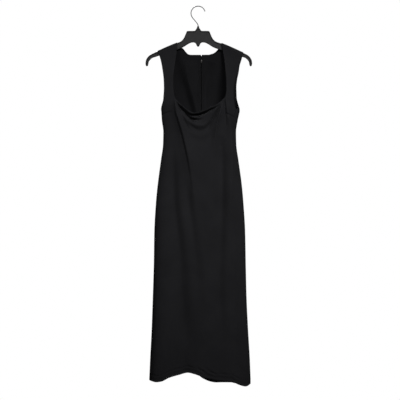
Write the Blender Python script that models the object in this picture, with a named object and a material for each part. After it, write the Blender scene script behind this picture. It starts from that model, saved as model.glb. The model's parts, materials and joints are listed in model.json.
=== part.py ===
"""A long sleeveless dress with a square neck, hung on a moulded hanger.

Metres, +Z up. The origin is the inside top of the hook, where a rail carries the hanger.
-Y is the front of the dress, and +X is its right as somebody facing it sees it.
Each half panel of cloth is a grid: columns fan out from the middle of the dress (0) to the
side, and rows run from the shoulder to the hem.
"""

import math

import bmesh
import bpy
import numpy as np
from mathutils import Matrix

LEFT, RIGHT = -1, 1
FRONT, BACK = -1, 1

# ---- Driving dimensions -------------------------------------------------------------------

CLOTH = 0.0012
GAP = 0.0003
HEM_WIDTH = 0.025
MIDDLE_X = 0.005
CENTRE_BACK_X = 0.0105
UNDERARM_Z = -0.420
HEM_Z = -1.510

# The tube that the cloth lies on: from its middle plane to its widest point on either side.
TUBE = (
    # z, left, right
    (-0.184, 0.1897, 0.1941),
    (-0.209, 0.1791, 0.1880),
    (-0.249, 0.1697, 0.1747),
    (-0.298, 0.1630, 0.1652),
    (-0.330, 0.1619, 0.1619),
    (-0.363, 0.1632, 0.1608),
    (-0.400, 0.1600, 0.1601),
    (-0.420, 0.1573, 0.1600),
    (-0.460, 0.1545, 0.1525),
    (-0.508, 0.1485, 0.1455),
    (-0.557, 0.1495, 0.1465),
    (-0.622, 0.1580, 0.1550),
    (-0.720, 0.1710, 0.1685),
    (-0.784, 0.1775, 0.1745),
    (-0.914, 0.1850, 0.1825),
    (-1.044, 0.1870, 0.1850),
    (-1.174, 0.1910, 0.1880),
    (-1.304, 0.1955, 0.1940),
    (-1.433, 0.2020, 0.2015),
    (-1.510, 0.2055, 0.2045),
)

# How far the front and the back stand off the middle plane, and how much of that is flat.
DEPTH = (
    # z, front, back, flat
    (-0.140, 0.0070, 0.0070, 0.0070),
    (-0.200, 0.0130, 0.0115, 0.0069),
    (-0.250, 0.0250, 0.0180, 0.0062),
    (-0.300, 0.0360, 0.0260, 0.0048),
    (-0.370, 0.0480, 0.0350, 0.0016),
    (-0.415, 0.0520, 0.0390, 0.0000),
    (-0.520, 0.0450, 0.0360, 0.0000),
    (-0.620, 0.0460, 0.0380, 0.0000),
    (-0.784, 0.0500, 0.0430, 0.0000),
    (-1.044, 0.0500, 0.0440, 0.0000),
    (-1.304, 0.0530, 0.0480, 0.0000),
    (-1.540, 0.0570, 0.0520, 0.0000),
)
ROUNDNESS = 0.80

# Degrees from the side of the tube to each panel's edge, towards its own middle.
EDGE_TURN = (
    # z, front left, back left, front right, back right
    (-0.140, 26, 26, 26, 26),
    (-0.350, 26, 26, 26, 26),
    (-0.370, 25, 25, 26, 24),
    (-0.385, 22, 22, 26, 19),
    (-0.398, 16, 16, 26, 8),
    (-0.409, 9, 9, 26, -8),
    (-0.420, 0, 0, 26, -26),
    (-0.480, 0, 0, 24, -24),
    (-0.560, 0, 0, 10, -10),
    (-0.620, 0, 0, 0, 0),
    (-1.540, 0, 0, 0, 0),
)

# The front neck: its sides, then the sagging edge between its two lower corners.
NECK_SIDES = (
    # z, left x, right x
    (-0.140, -0.0885, 0.0930),
    (-0.172, -0.0900, 0.0970),
    (-0.228, -0.0970, 0.1055),
    (-0.284, -0.1038, 0.1107),
    (-0.310, -0.1043, 0.1120),
    (-0.335, -0.1035, 0.1124),
    (-0.358, -0.1010, 0.1100),
    (-0.370, -0.0975, 0.1055),
)
FRONT_NECK = (
    # x, z
    (-0.0975, -0.3700),
    (-0.0880, -0.3830),
    (-0.0600, -0.4090),
    (-0.0330, -0.4280),
    (-0.0150, -0.4330),
    (0.0160, -0.4235),
    (0.0500, -0.4095),
    (0.0800, -0.3935),
    (0.1055, -0.3700),
)
BACK_NECK = (
    # x, z
    (-0.0885, -0.1600),
    (-0.0650, -0.1700),
    (-0.0535, -0.1840),
    (-0.0420, -0.1940),
    (-0.0300, -0.1960),
    (0.0400, -0.1955),
    (0.0560, -0.1940),
    (0.0650, -0.1840),
    (0.0770, -0.1720),
    (0.0930, -0.1610),
)
NECK_POINT_X = {LEFT: -0.0885, RIGHT: 0.0930}
SHOULDER_TIP_X = {LEFT: -0.1655, RIGHT: 0.1795}

# The hem rises at the left of the middle, where the long folds gather it up.
HEM = (
    # x, front z, back z
    (-0.205, -1.5060, -1.5060),
    (-0.172, -1.5205, -1.5190),
    (-0.150, -1.5170, -1.5130),
    (-0.121, -1.5025, -1.4960),
    (-0.078, -1.4900, -1.4830),
    (-0.045, -1.4820, -1.4780),
    (-0.016, -1.4880, -1.4860),
    (0.019, -1.5000, -1.5020),
    (0.051, -1.5065, -1.5160),
    (0.070, -1.5105, -1.5212),
    (0.100, -1.5130, -1.5195),
    (0.132, -1.5140, -1.5160),
    (0.165, -1.5290, -1.5270),
    (0.191, -1.5370, -1.5360),
    (0.212, -1.5270, -1.5270),
)

# The neck edge hangs slack between the straps, and drops in rolls below it.
COWL = (
    # drop below the neck edge, forward
    (0.000, 0.0070),
    (0.004, 0.0040),
    (0.013, -0.0090),
    (0.021, -0.0010),
    (0.030, -0.0045),
    (0.050, 0.0050),
    (0.075, -0.0015),
    (0.110, 0.0010),
    (0.150, 0.0000),
)

# Long soft troughs, as rows of z, x, how deep and how wide.
FRONT_TROUGHS = (
    (
        (-0.370, -0.0990, 0.0000, 0.011),
        (-0.395, -0.0950, 0.0070, 0.011),
        (-0.484, -0.0750, 0.0080, 0.013),
        (-0.637, -0.0426, 0.0060, 0.016),
        (-0.865, -0.0158, 0.0045, 0.020),
        (-1.060, 0.0040, 0.0000, 0.024),
    ),
    (
        (-0.530, -0.0945, 0.0000, 0.015),
        (-0.600, -0.0945, 0.0045, 0.015),
        (-0.752, -0.0876, 0.0055, 0.016),
        (-0.959, -0.0572, 0.0055, 0.018),
        (-1.247, -0.0345, 0.0045, 0.022),
        (-1.538, -0.0300, 0.0020, 0.026),
    ),
    (
        (-0.368, 0.1085, 0.0000, 0.010),
        (-0.395, 0.1110, 0.0045, 0.010),
        (-0.533, 0.1205, 0.0050, 0.014),
        (-0.724, 0.1124, 0.0050, 0.017),
        (-1.007, 0.1055, 0.0045, 0.020),
        (-1.243, 0.1205, 0.0030, 0.022),
        (-1.400, 0.1300, 0.0000, 0.022),
    ),
)
BACK_TROUGHS = (
    (
        (-0.215, -0.0560, 0.0000, 0.014),
        (-0.260, -0.0520, 0.0050, 0.014),
        (-0.420, -0.0180, 0.0070, 0.014),
        (-0.560, -0.0230, 0.0035, 0.018),
        (-0.900, -0.0560, 0.0050, 0.022),
        (-1.300, -0.0420, 0.0035, 0.026),
        (-1.538, -0.0400, 0.0020, 0.028),
    ),
    (
        (-0.215, 0.0620, 0.0000, 0.014),
        (-0.260, 0.0590, 0.0045, 0.014),
        (-0.400, 0.0290, 0.0050, 0.015),
        (-0.560, 0.0420, 0.0030, 0.018),
        (-0.900, 0.0820, 0.0050, 0.022),
        (-1.300, 0.0700, 0.0040, 0.026),
        (-1.538, 0.0680, 0.0020, 0.028),
    ),
)

# The moulded hanger, from its middle to one tip: each row is a cut across it.
HANGER_CUTS = (
    # top x, top z, bottom x, bottom z
    (0.0000, -0.0888, 0.0000, -0.1606),
    (0.0046, -0.0888, 0.0035, -0.1594),
    (0.0080, -0.0935, 0.0063, -0.1550),
    (0.0105, -0.0982, 0.0086, -0.1495),
    (0.0145, -0.1014, 0.0125, -0.1450),
    (0.0190, -0.1018, 0.0180, -0.1429),
    (0.0300, -0.1018, 0.0280, -0.1438),
    (0.0410, -0.1018, 0.0390, -0.1500),
    (0.0465, -0.1036, 0.0450, -0.1540),
    (0.0505, -0.1120, 0.0500, -0.1580),
    (0.0565, -0.1260, 0.0555, -0.1617),
    (0.0640, -0.1360, 0.0615, -0.1650),
    (0.0750, -0.1436, 0.0690, -0.1683),
    (0.0900, -0.1484, 0.0820, -0.1730),
    (0.1080, -0.1550, 0.1010, -0.1785),
    (0.1420, -0.1698, 0.1360, -0.1895),
    (0.1800, -0.1876, 0.1725, -0.2030),
    (0.2000, -0.1982, 0.1885, -0.2085),
    (0.2097, -0.2085, 0.1980, -0.2166),
    (0.2146, -0.2190, 0.2030, -0.2240),
    (0.2162, -0.2300, 0.2044, -0.2315),
    (0.2150, -0.2380, 0.2060, -0.2385),
    (0.2130, -0.2415, 0.2085, -0.2416),
)
HANGER_DEPTH = 0.0105
HANGER_RIM = 0.0034
HANGER_WEB = 0.0032
HANGER_SLOPE = 0.0010
HANGER_CHAMFER = 0.0012
REST = 0.0007

# How the cloth bends over the hanger's top edge: off the middle plane, above the edge's line.
OVER_THE_ARM = (
    # out, up
    (GAP / 2, 0.0000),
    (0.0040, -0.0001),
    (0.0063, -0.0015),
    (0.0070, -0.0047),
)
ARM_DROP = 0.012

WIRE = 0.0035
HOOK_INSIDE = 0.0270
HOOK_TIP_ANGLE = 14
HOOK_TURN_ANGLE = 207
HOOK_BALL = 1.25
HOOK_BEND_LEAD = 0.014
HOOK_BEND_X, HOOK_BEND_Z = -0.0015, -0.066
HOOK_STEM_TOP_Z = -0.077
HOOK_ARC_POINTS, HOOK_BEND_POINTS = 27, 9
COLLAR_TOP_Z = -0.0815
COLLAR_BORE_DEPTH = 0.0050
COLLAR_SIDES = 20
COLLAR_PROFILE = (
    # radius, height over the hanger's top
    (0.0000, GAP),
    (0.0040, GAP),
    (0.0044, 0.0013),
    (0.0044, 0.0051),
    (0.0035, 0.0067),
    (0.0027, 0.0073),
)

# Edges that bend by more than this many degrees stay sharp.
SHARPEST_ROUND = 40

# Rows and columns of the cloth's grids.
MIDDLE_COLUMNS = 7
STRAP_COLUMNS = 5
STRAP_ROWS = 7
COWL_STEPS = (0.004, 0.005, 0.006, 0.007, 0.008, 0.008)
BACK_LEVELS = (-0.205, -0.214, -0.228, -0.235, -0.265, -0.300, -0.332, -0.356, -0.374,
               -0.388, -0.399, -0.410)
FIRST_STEP, STEP_GROWTH, LONGEST_STEP = 0.013, 1.26, 0.047
NEAR_ZERO = 1e-6
NECK_SEARCHES = 8

# The concealed zip, from the back neck to the hips.
TAPE = 0.0006
TAPE_WIDTH = 0.010
ZIP_END_Z = -0.755
ZIP_SPREAD = (
    # z, width between the two back panels
    (-0.1900, 0.0072),
    (-0.2050, 0.0040),
    (-0.2140, 0.0024),
    (-0.2300, 0.0024),
    (-0.2360, GAP),
    (-1.5400, GAP),
)
SLIDER_Z = -0.2215
SLIDER_LENGTH, SLIDER_WIDTH, SLIDER_HEIGHT = 0.0100, 0.0062, 0.0030
POST_WIDTH = 0.0014
ARCH_LENGTH, ARCH_HEIGHT, ARCH_BAR, ARCH_BASE = 0.0070, 0.0034, 0.0010, 0.0006
PULL_LENGTH, PULL_WIDTH, PULL_THICK = 0.0220, 0.0064, 0.0010
PULL_STRAIGHT, PULL_TIP_WIDTH = 0.0155, 0.0040
EYE_LENGTH, EYE_WIDTH = 0.0052, 0.0030


# ---- Reading the tables -------------------------------------------------------------------

def read(table, column, at):
    """A column of a table, along its first column, on a smooth curve that never overshoots."""
    rows = np.array(sorted(table))
    x, y = rows[:, 0], rows[:, column]
    at = np.clip(at, x[0], x[-1])
    steps = np.diff(x)
    rises = np.diff(y) / steps
    slopes = np.concatenate([[rises[0]], np.zeros(len(x) - 2), [rises[-1]]])
    same = rises[:-1] * rises[1:] > 0
    both = 2 * rises[:-1] * rises[1:]
    slopes[1:-1][same] = (both[same]) / (rises[:-1] + rises[1:])[same]
    i = np.clip(np.searchsorted(x, at) - 1, 0, len(steps) - 1)
    t = (at - x[i]) / steps[i]
    start = y[i] * (1 + 2 * t) * (1 - t) ** 2 + slopes[i] * steps[i] * t * (1 - t) ** 2
    end = y[i + 1] * t * t * (3 - 2 * t) + slopes[i + 1] * steps[i] * t * t * (t - 1)
    return start + end


def hanger_top(x):
    cuts = np.array(HANGER_CUTS)
    return np.interp(np.abs(x), cuts[:, 0], cuts[:, 1])


def shoulder_line(x):
    return hanger_top(x) + REST + CLOTH / 2


def side_column(side):
    return 1 if side == LEFT else 2


def turn_column(side, face):
    return {LEFT: 1, RIGHT: 3}[side] + (face == BACK)


def edge_angle(side, face, z):
    """The angle round the tube, from its middle, of a panel's edge."""
    return np.radians(90 - read(EDGE_TURN, turn_column(side, face), z))


def half_width(side, z):
    return read(TUBE, side_column(side), z)


def stand_off(face, angle, z):
    """How far the tube stands off the middle plane, which it crosses at its side."""
    cosine = np.cos(angle)
    toward = np.where(cosine >= 0, face, -face)
    depth = np.where(toward == FRONT, read(DEPTH, 1, z), read(DEPTH, 2, z))
    flat = read(DEPTH, 3, z)
    return toward * (flat + (depth - flat) * np.abs(cosine) ** ROUNDNESS)


def trough(rows, x, z):
    """How far one trough sinks the cloth at x, z."""
    middle = read(rows, 1, z)
    deep = read(rows, 2, z)
    wide = read(rows, 3, z)
    inside = (z <= rows[0][0]) & (z >= rows[-1][0])
    return np.where(inside, deep * np.exp(-(((x - middle) / wide) ** 2)), 0)


def fold(face, x, z):
    """The folds' part of y."""
    troughs = FRONT_TROUGHS if face == FRONT else BACK_TROUGHS
    return -face * sum(trough(rows, x, z) for rows in troughs)


def cowl(across, drop):
    """The rolls below the front neck, fading from its middle (0) to its corners (1)."""
    return FRONT * read(COWL, 1, drop) * (1 - np.clip(across, 0, 1) ** 2)


# ---- The grid of half a panel -------------------------------------------------------------

def shared_levels(side):
    """Levels down the side seam, from the underarm to the hem, the same in front and back."""
    steps = [FIRST_STEP]
    hem = read(HEM, 1, MIDDLE_X + side * half_width(side, HEM_Z))
    length = UNDERARM_Z - (hem + HEM_WIDTH)
    while sum(steps) < length:
        steps.append(min(steps[-1] * STEP_GROWTH, LONGEST_STEP))
    levels = UNDERARM_Z - np.cumsum(steps) * length / sum(steps)
    return np.concatenate([[UNDERARM_Z], levels, [hem]])


def side_levels(side, face, top):
    if face == FRONT:
        own = top - np.concatenate([[0], np.cumsum(COWL_STEPS)])
    else:
        own = np.concatenate([[top], BACK_LEVELS])
    return np.concatenate([own, shared_levels(side)])


def seam_point(side, z):
    """Where front and back meet at the side: point, normal, and the way into the front."""
    angle = edge_angle(side, FRONT, z)
    wide = half_width(side, z)
    depth = read(DEPTH, 1, z)
    sine, cosine = math.sin(angle), max(math.cos(angle), NEAR_ZERO)
    along = np.array([-side * wide * cosine, -depth * ROUNDNESS * cosine ** (ROUNDNESS - 1) * sine, 0])
    along /= np.linalg.norm(along)
    normal = np.array([side * -along[1], side * along[0], 0])
    point = np.array([MIDDLE_X + side * wide * sine, float(stand_off(FRONT, angle, z)), z])
    return point, normal, along


class HalfPanel:
    """Points of one half of the front, or of one back panel, with their rows and columns."""

    def __init__(self, side, face):
        self.side, self.face = side, face
        self.columns = MIDDLE_COLUMNS + STRAP_COLUMNS
        self.corner_x = NECK_SIDES[-1][side_column(side)] if face == FRONT else NECK_POINT_X[side]
        self.corner_z = NECK_SIDES[-1][0] if face == FRONT else BACK_NECK[0][1]
        self.fixed_normals = {}
        self.points, self.index = [], {}
        self.make_strap()
        self.make_body()

    def add(self, row, column, x, y, z):
        self.index[row, column] = len(self.points)
        self.points.append((float(x), float(y), float(z)))

    def middle_x(self, z):
        return CENTRE_BACK_X if self.face == BACK else MIDDLE_X

    def shoulder_x(self, share):
        inner = NECK_POINT_X[self.side]
        return inner + (SHOULDER_TIP_X[self.side] - inner) * share

    def strap_share(self, column):
        first, last = self.corner_angle(), float(edge_angle(self.side, self.face, self.corner_z))
        angle = first + (last - first) * (column - MIDDLE_COLUMNS) / STRAP_COLUMNS
        return (math.sin(angle) - math.sin(first)) / (math.sin(last) - math.sin(first))

    def corner_angle(self):
        wide = half_width(self.side, self.corner_z)
        return math.asin(self.side * (self.corner_x - MIDDLE_X) / wide)

    def strap_foot(self, column):
        """The level where a strap's column becomes a column of the body."""
        if self.face == FRONT:
            return self.corner_z
        return float(shoulder_line(self.shoulder_x(self.strap_share(column)))) - ARM_DROP

    def make_strap(self):
        """Rows from the shoulder seam, over the hanger's arm, to the level of the neck's corner."""
        side, face = self.side, self.face
        over = len(OVER_THE_ARM)
        rows = STRAP_ROWS if face == FRONT else 0
        for column in range(MIDDLE_COLUMNS, self.columns + 1):
            share = self.strap_share(column)
            top_x = self.shoulder_x(share)
            top = float(shoulder_line(top_x))
            for row, (out, up) in enumerate(OVER_THE_ARM):
                self.add(row - over - rows, column, top_x, face * out, top + up)
            for row in range(rows):
                z = top - ARM_DROP + (self.corner_z - top + ARM_DROP) * row / rows
                neck = read(NECK_SIDES, side_column(side), z)
                edge = MIDDLE_X + side * half_width(side, z) * math.sin(edge_angle(side, face, z))
                x = neck + (edge - neck) * share
                sine = side * (x - MIDDLE_X) / half_width(side, z)
                y = stand_off(face, np.arcsin(np.clip(sine, -1, 1)), z) + fold(face, x, z)
                self.add(row - rows, column, x, y, z)
        slope = np.gradient([shoulder_line(self.shoulder_x(s)) for s in (0, 1)])[0]
        run = abs(self.shoulder_x(1) - self.shoulder_x(0))
        normal = np.array([side * -slope / run, 0, 1])
        for column in range(MIDDLE_COLUMNS, self.columns + 1):
            self.fixed_normals[-over - rows, column] = normal / np.linalg.norm(normal)

    def column_angle(self, column, z):
        """The angle round the tube of a column of the body."""
        corner = self.corner_angle()
        if column <= MIDDLE_COLUMNS:
            start = self.side * (self.middle_x(z) - MIDDLE_X) / half_width(self.side, z)
            start = math.asin(start)
            return start + (corner - start) * column / MIDDLE_COLUMNS
        edge = float(edge_angle(self.side, self.face, z))
        return corner + (edge - corner) * (column - MIDDLE_COLUMNS) / STRAP_COLUMNS

    def place(self, column, z):
        """x and y of a column of the body at a level, before the folds."""
        angle = self.column_angle(column, z)
        x = MIDDLE_X + self.side * float(half_width(self.side, z)) * math.sin(angle)
        return x, float(stand_off(self.face, angle, z))

    def neck_level(self, column):
        """The level where a column meets the neck's lower edge."""
        table = FRONT_NECK if self.face == FRONT else BACK_NECK
        z = self.corner_z
        for _ in range(NECK_SEARCHES):
            z = float(read(table, 1, self.place(column, z)[0]))
        return z

    def top_level(self, column):
        if column > MIDDLE_COLUMNS:
            return self.strap_foot(column)
        return self.corner_z if column == MIDDLE_COLUMNS else self.neck_level(column)

    def make_body(self):
        """Rows from the neck's lower edge to the hem."""
        side, face = self.side, self.face
        levels = side_levels(side, face, self.top_level(self.columns))
        fall = (levels - levels[0]) / (levels[-1] - levels[0])
        self.rows = len(levels) - 1
        hem_column = 1 if face == FRONT else 2
        for column in range(self.columns + 1):
            top = self.top_level(column)
            hem = float(read(HEM, hem_column, self.place(column, HEM_Z)[0]))
            hem = float(levels[-1]) if column == self.columns else hem
            across = column / MIDDLE_COLUMNS
            for row in range(self.rows + 1):
                z = top + (hem - top) * float(fall[row])
                x, y = self.place(column, z)
                y += float(fold(face, x, z))
                if face == FRONT and across < 1:
                    y += float(cowl(across, top - z))
                if column == self.columns and z <= UNDERARM_Z + NEAR_ZERO:
                    point, normal, along = seam_point(side, z)
                    x, y, z = point + along * (GAP / 2) * -face
                    self.fixed_normals[row, column] = normal
                if column == 0 and face == BACK:
                    x += side * float(read(ZIP_SPREAD, 1, z)) / 2
                    self.fixed_normals[row, column] = np.array([0.0, 1.0, 0.0])
                self.add(row, column, x, y, z)

    def quads(self):
        """Grid squares as four point numbers, in one turning sense."""
        for (row, column), corner in self.index.items():
            others = ((row + 1, column), (row + 1, column + 1), (row, column + 1))
            if all(other in self.index for other in others):
                yield (corner, *(self.index[other] for other in others))


# ---- Walls of cloth -----------------------------------------------------------------------

def outward_normals(points, triangles, fixed):
    """Unit normals at the points, away from the inside of the dress."""
    normals = np.zeros_like(points)
    a, b, c = (points[triangles[:, i]] for i in range(3))
    flat = np.cross(b - a, c - a)
    for i in range(3):
        np.add.at(normals, triangles[:, i], flat)
    normals /= np.linalg.norm(normals, axis=1)[:, None]
    for number, normal in fixed.items():
        normals[number] = normal
    return normals


def facing_out(points, triangles, face):
    """The triangles, all turned so that the cloth's outside is their outside."""
    a, b, c = (points[triangles[:, i]] for i in range(3))
    total = np.cross(b - a, c - a).sum(axis=0)
    return triangles if total[1] * face > 0 else triangles[:, ::-1]


def wall(name, points, normals, triangles, thickness, inward=0.0):
    """A closed wall of one thickness round the surface, moved inward from it."""
    outer = points + normals * (thickness / 2 - inward)
    inner = points - normals * (thickness / 2 + inward)
    count = len(points)
    edges = {}
    for a, b, c in triangles.tolist():
        for start, end in ((a, b), (b, c), (c, a)):
            edges[start, end] = True
    rim = [pair for pair in edges if pair[::-1] not in edges]
    faces = triangles.tolist() + (triangles[:, ::-1] + count).tolist()
    faces += [(end, start, start + count) for start, end in rim]
    faces += [(end, start + count, end + count) for start, end in rim]
    return mesh_object(name, np.concatenate([outer, inner]).tolist(), faces)


def mesh_object(name, points, faces):
    mesh = bpy.data.meshes.new(name)
    mesh.from_pydata(points, [], faces)
    shape = bmesh.new()
    shape.from_mesh(mesh)
    loose = [vertex for vertex in shape.verts if not vertex.link_faces]
    bmesh.ops.delete(shape, geom=loose, context="VERTS")
    shape.to_mesh(mesh)
    shape.free()
    made = bpy.data.objects.new(name, mesh)
    bpy.context.scene.collection.objects.link(made)
    return made


def split(quads):
    """Each square as two triangles, always on the same diagonal."""
    quads = np.array(list(quads))
    return np.concatenate([quads[:, [0, 1, 2]], quads[:, [0, 2, 3]]])


class Panel:
    """One or two half panels as a single piece of cloth."""

    def __init__(self, halves):
        self.face = halves[0].face
        self.numbers, points, squares, fixed = {}, [], [], {}
        for half in halves:
            own = {}
            for (row, column), old in half.index.items():
                key = (row, column * half.side)
                if key not in self.numbers:
                    self.numbers[key] = len(points)
                    points.append(half.points[old])
                own[old] = self.numbers[key]
                if (row, column) in half.fixed_normals:
                    fixed[own[old]] = half.fixed_normals[row, column]
            for square in half.quads():
                corners = [own[old] for old in square]
                squares.append(corners if half.side == RIGHT else corners[::-1])
        self.rows = halves[0].rows
        self.points = np.array(points)
        self.triangles = facing_out(self.points, split(squares), self.face)
        self.normals = outward_normals(self.points, self.triangles, fixed)

    def cloth(self, name):
        return wall(name, self.points, self.normals, self.triangles, CLOTH)

    def hem_turn_up(self, name):
        """The last row, again, just inside the panel."""
        last = {number for (row, _), number in self.numbers.items() if row >= self.rows - 1}
        keep = [all(corner in last for corner in corners) for corners in self.triangles.tolist()]
        own = self.triangles[np.array(keep)]
        return wall(name, self.points, self.normals, own, CLOTH, inward=CLOTH + GAP)

    def zip_tape(self, name, side):
        """A narrow strip along the centre-back edge, inside the panel."""
        rows = [row for row in range(self.rows)
                if self.points[self.numbers[row, 0]][2] >= ZIP_END_Z]
        points, normals, quads = [], [], []
        for row in rows:
            edge, next_one = self.numbers[row, 0], self.numbers[row, side]
            share = TAPE_WIDTH / np.linalg.norm(self.points[next_one] - self.points[edge])
            points += [self.points[edge], self.points[edge] * (1 - share) + self.points[next_one] * share]
            normals += [self.normals[edge], self.normals[edge]]
        for row in range(len(rows) - 1):
            first = 2 * row
            quads.append((first, first + 2, first + 3, first + 1))
        points, normals = np.array(points), np.array(normals)
        triangles = facing_out(points, split(quads), BACK)
        return wall(name, points, normals, triangles, TAPE, inward=(CLOTH + TAPE) / 2 + GAP)


# ---- Hanger -------------------------------------------------------------------------------

def hanger_cut(x_top, z_top, x_low, z_low, mirror):
    """One closed cut of the arm: rims at top and bottom, and a thinner web between."""
    top, low = np.array([x_top, z_top]), np.array([x_low, z_low])
    height = np.linalg.norm(low - top)
    down = (low - top) / height
    rim = min(HANGER_RIM, 0.30 * height)
    slope = min(HANGER_SLOPE, 0.10 * height)
    chamfer = min(HANGER_CHAMFER, 0.20 * height)
    half, web = HANGER_DEPTH / 2, HANGER_WEB / 2
    quarter = [(0, half - chamfer), (chamfer, half), (rim, half), (rim + slope, web)]
    back = quarter + [(height - along, out) for along, out in reversed(quarter)]
    ring = back + [(along, -out) for along, out in reversed(back)]
    return [(mirror * (top + down * along)[0], out, (top + down * along)[1]) for along, out in ring]


def make_hanger_body():
    cuts = [hanger_cut(*row, LEFT) for row in reversed(HANGER_CUTS[1:])]
    cuts += [hanger_cut(*row, RIGHT) for row in HANGER_CUTS]
    around = len(cuts[0])
    points = [point for cut in cuts for point in cut]
    faces = [tuple(range(around)), tuple(reversed(range(len(points) - around, len(points))))]
    for cut in range(len(cuts) - 1):
        for corner in range(around):
            after = (corner + 1) % around
            start = cut * around
            faces.append((start + corner, start + around + corner, start + around + after, start + after))
    body = mesh_object("hanger_body", points, faces)
    face_outwards(body)
    return body


def face_outwards(thing):
    shape = bmesh.new()
    shape.from_mesh(thing.data)
    bmesh.ops.triangulate(shape, faces=[face for face in shape.faces if len(face.verts) > 4])
    bmesh.ops.recalc_face_normals(shape, faces=shape.faces)
    shape.to_mesh(thing.data)
    shape.free()


def make_collar():
    """A turned bead with a blind bore that takes the hook's stem."""
    bore = WIRE / 2 + GAP
    floor = COLLAR_TOP_Z - COLLAR_BORE_DEPTH
    hanger = HANGER_CUTS[0][1]
    profile = [(radius, hanger + height) for radius, height in COLLAR_PROFILE]
    profile += [(bore, COLLAR_TOP_Z), (bore, floor), (0, floor)]
    shape = bmesh.new()
    points = [shape.verts.new((radius, 0, z)) for radius, z in profile]
    edges = [shape.edges.new(pair) for pair in zip(points, points[1:])]
    bmesh.ops.spin(shape, geom=points + edges, axis=(0, 0, 1), cent=(0, 0, 0),
                   steps=COLLAR_SIDES, angle=2 * math.pi)
    bmesh.ops.remove_doubles(shape, verts=shape.verts, dist=NEAR_ZERO)
    bmesh.ops.recalc_face_normals(shape, faces=shape.faces)
    mesh = bpy.data.meshes.new("hanger_collar")
    shape.to_mesh(mesh)
    shape.free()
    made = bpy.data.objects.new("hanger_collar", mesh)
    bpy.context.scene.collection.objects.link(made)
    return made


def hook_route():
    """The wire's middle line: tip, round the crown, then a bend into the upright stem."""
    radius = HOOK_INSIDE + WIRE / 2
    centre = np.array([0, -HOOK_INSIDE])
    turn = np.radians(np.linspace(HOOK_TIP_ANGLE, HOOK_TURN_ANGLE, HOOK_ARC_POINTS))
    arc = centre + radius * np.stack([np.cos(turn), np.sin(turn)], axis=1)
    leaving = np.array([-math.sin(turn[-1]), math.cos(turn[-1])])
    knots = (arc[-1], arc[-1] + HOOK_BEND_LEAD * leaving, np.array([HOOK_BEND_X, HOOK_BEND_Z]),
             np.array([0, HOOK_STEM_TOP_Z]))
    t = np.linspace(0, 1, HOOK_BEND_POINTS + 1)[1:, None]
    bend = sum(math.comb(3, i) * t**i * (1 - t) ** (3 - i) * knot for i, knot in enumerate(knots))
    foot = np.array([[0, COLLAR_TOP_Z - COLLAR_BORE_DEPTH + GAP]])
    return np.concatenate([arc, bend, foot])


def make_hook():
    route = hook_route()
    line = bpy.data.curves.new("hanger_hook", "CURVE")
    line.dimensions = "3D"
    line.bevel_depth = WIRE / 2
    line.bevel_resolution = 2
    line.use_fill_caps = True
    spline = line.splines.new("POLY")
    spline.points.add(len(route) - 1)
    for number, (x, z) in enumerate(route):
        spline.points[number].co = (x, 0, z, 1)
        spline.points[number].radius = HOOK_BALL if number < 2 else 1.0
    made = bpy.data.objects.new("hanger_hook", line)
    bpy.context.scene.collection.objects.link(made)
    return made


# ---- Zip slider and pull ------------------------------------------------------------------

def block(shape, low, high):
    """A box between two corners, added to a shape."""
    low, high = np.array(low), np.array(high)
    made = bmesh.ops.create_cube(shape, size=1)
    bmesh.ops.scale(shape, vec=high - low, verts=made["verts"])
    bmesh.ops.translate(shape, vec=(low + high) / 2, verts=made["verts"])


def join_blocks(name, boxes):
    """Overlapping boxes as one body, by Boolean unions."""
    parts = []
    for number, (low, high) in enumerate(boxes):
        shape = bmesh.new()
        block(shape, low, high)
        part = mesh_object(f"{name}_{number}" if number else name, [], [])
        shape.to_mesh(part.data)
        shape.free()
        parts.append(part)
    for part in parts[1:]:
        union = parts[0].modifiers.new(part.name, "BOOLEAN")
        union.operation = "UNION"
        union.object = part
        part.hide_render = True
        part.display_type = "WIRE"
    return parts


def slider_place(panel):
    """The frame of the slider: x across, y out of the back, z up the zip."""
    heights = sorted((panel.points[panel.numbers[row, 0]][2], row) for row in range(panel.rows))
    above = next(row for height, row in heights if height > SLIDER_Z)
    low, high = (panel.points[panel.numbers[row, 0]] for row in (above + 1, above))
    share = (SLIDER_Z - low[2]) / (high[2] - low[2])
    up = np.array([0, high[1] - low[1], high[2] - low[2]])
    up /= np.linalg.norm(up)
    out = np.array([0, up[2], -up[1]])
    place = Matrix.Identity(4)
    for row in range(3):
        place[row][0] = (1, 0, 0)[row]
        place[row][1] = out[row]
        place[row][2] = up[row]
        place[row][3] = (CENTRE_BACK_X, low[1] + (high[1] - low[1]) * share, SLIDER_Z)[row]
    return place


def make_slider(place):
    """A body under the tapes, a post between them, and an arch outside for the pull."""
    outside = CLOTH / 2 + GAP
    under = -(CLOTH / 2 + GAP + TAPE + GAP)
    arch_top = outside + ARCH_HEIGHT
    wide, post, half = SLIDER_WIDTH / 2, POST_WIDTH / 2, SLIDER_LENGTH / 2
    arch = ARCH_LENGTH / 2
    parts = join_blocks("zip_slider", (
        ((-wide, under - SLIDER_HEIGHT, -half), (wide, under, half)),
        ((-post, under - GAP, -arch), (post, outside + ARCH_BASE, arch)),
        ((-post, outside, -arch), (post, arch_top, -arch + ARCH_BAR)),
        ((-post, outside, arch - ARCH_BAR), (post, arch_top, arch)),
        ((-post, arch_top - ARCH_BAR, -arch), (post, arch_top, arch)),
    ))
    for part in parts:
        part.matrix_world = place
    return parts[0]


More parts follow.
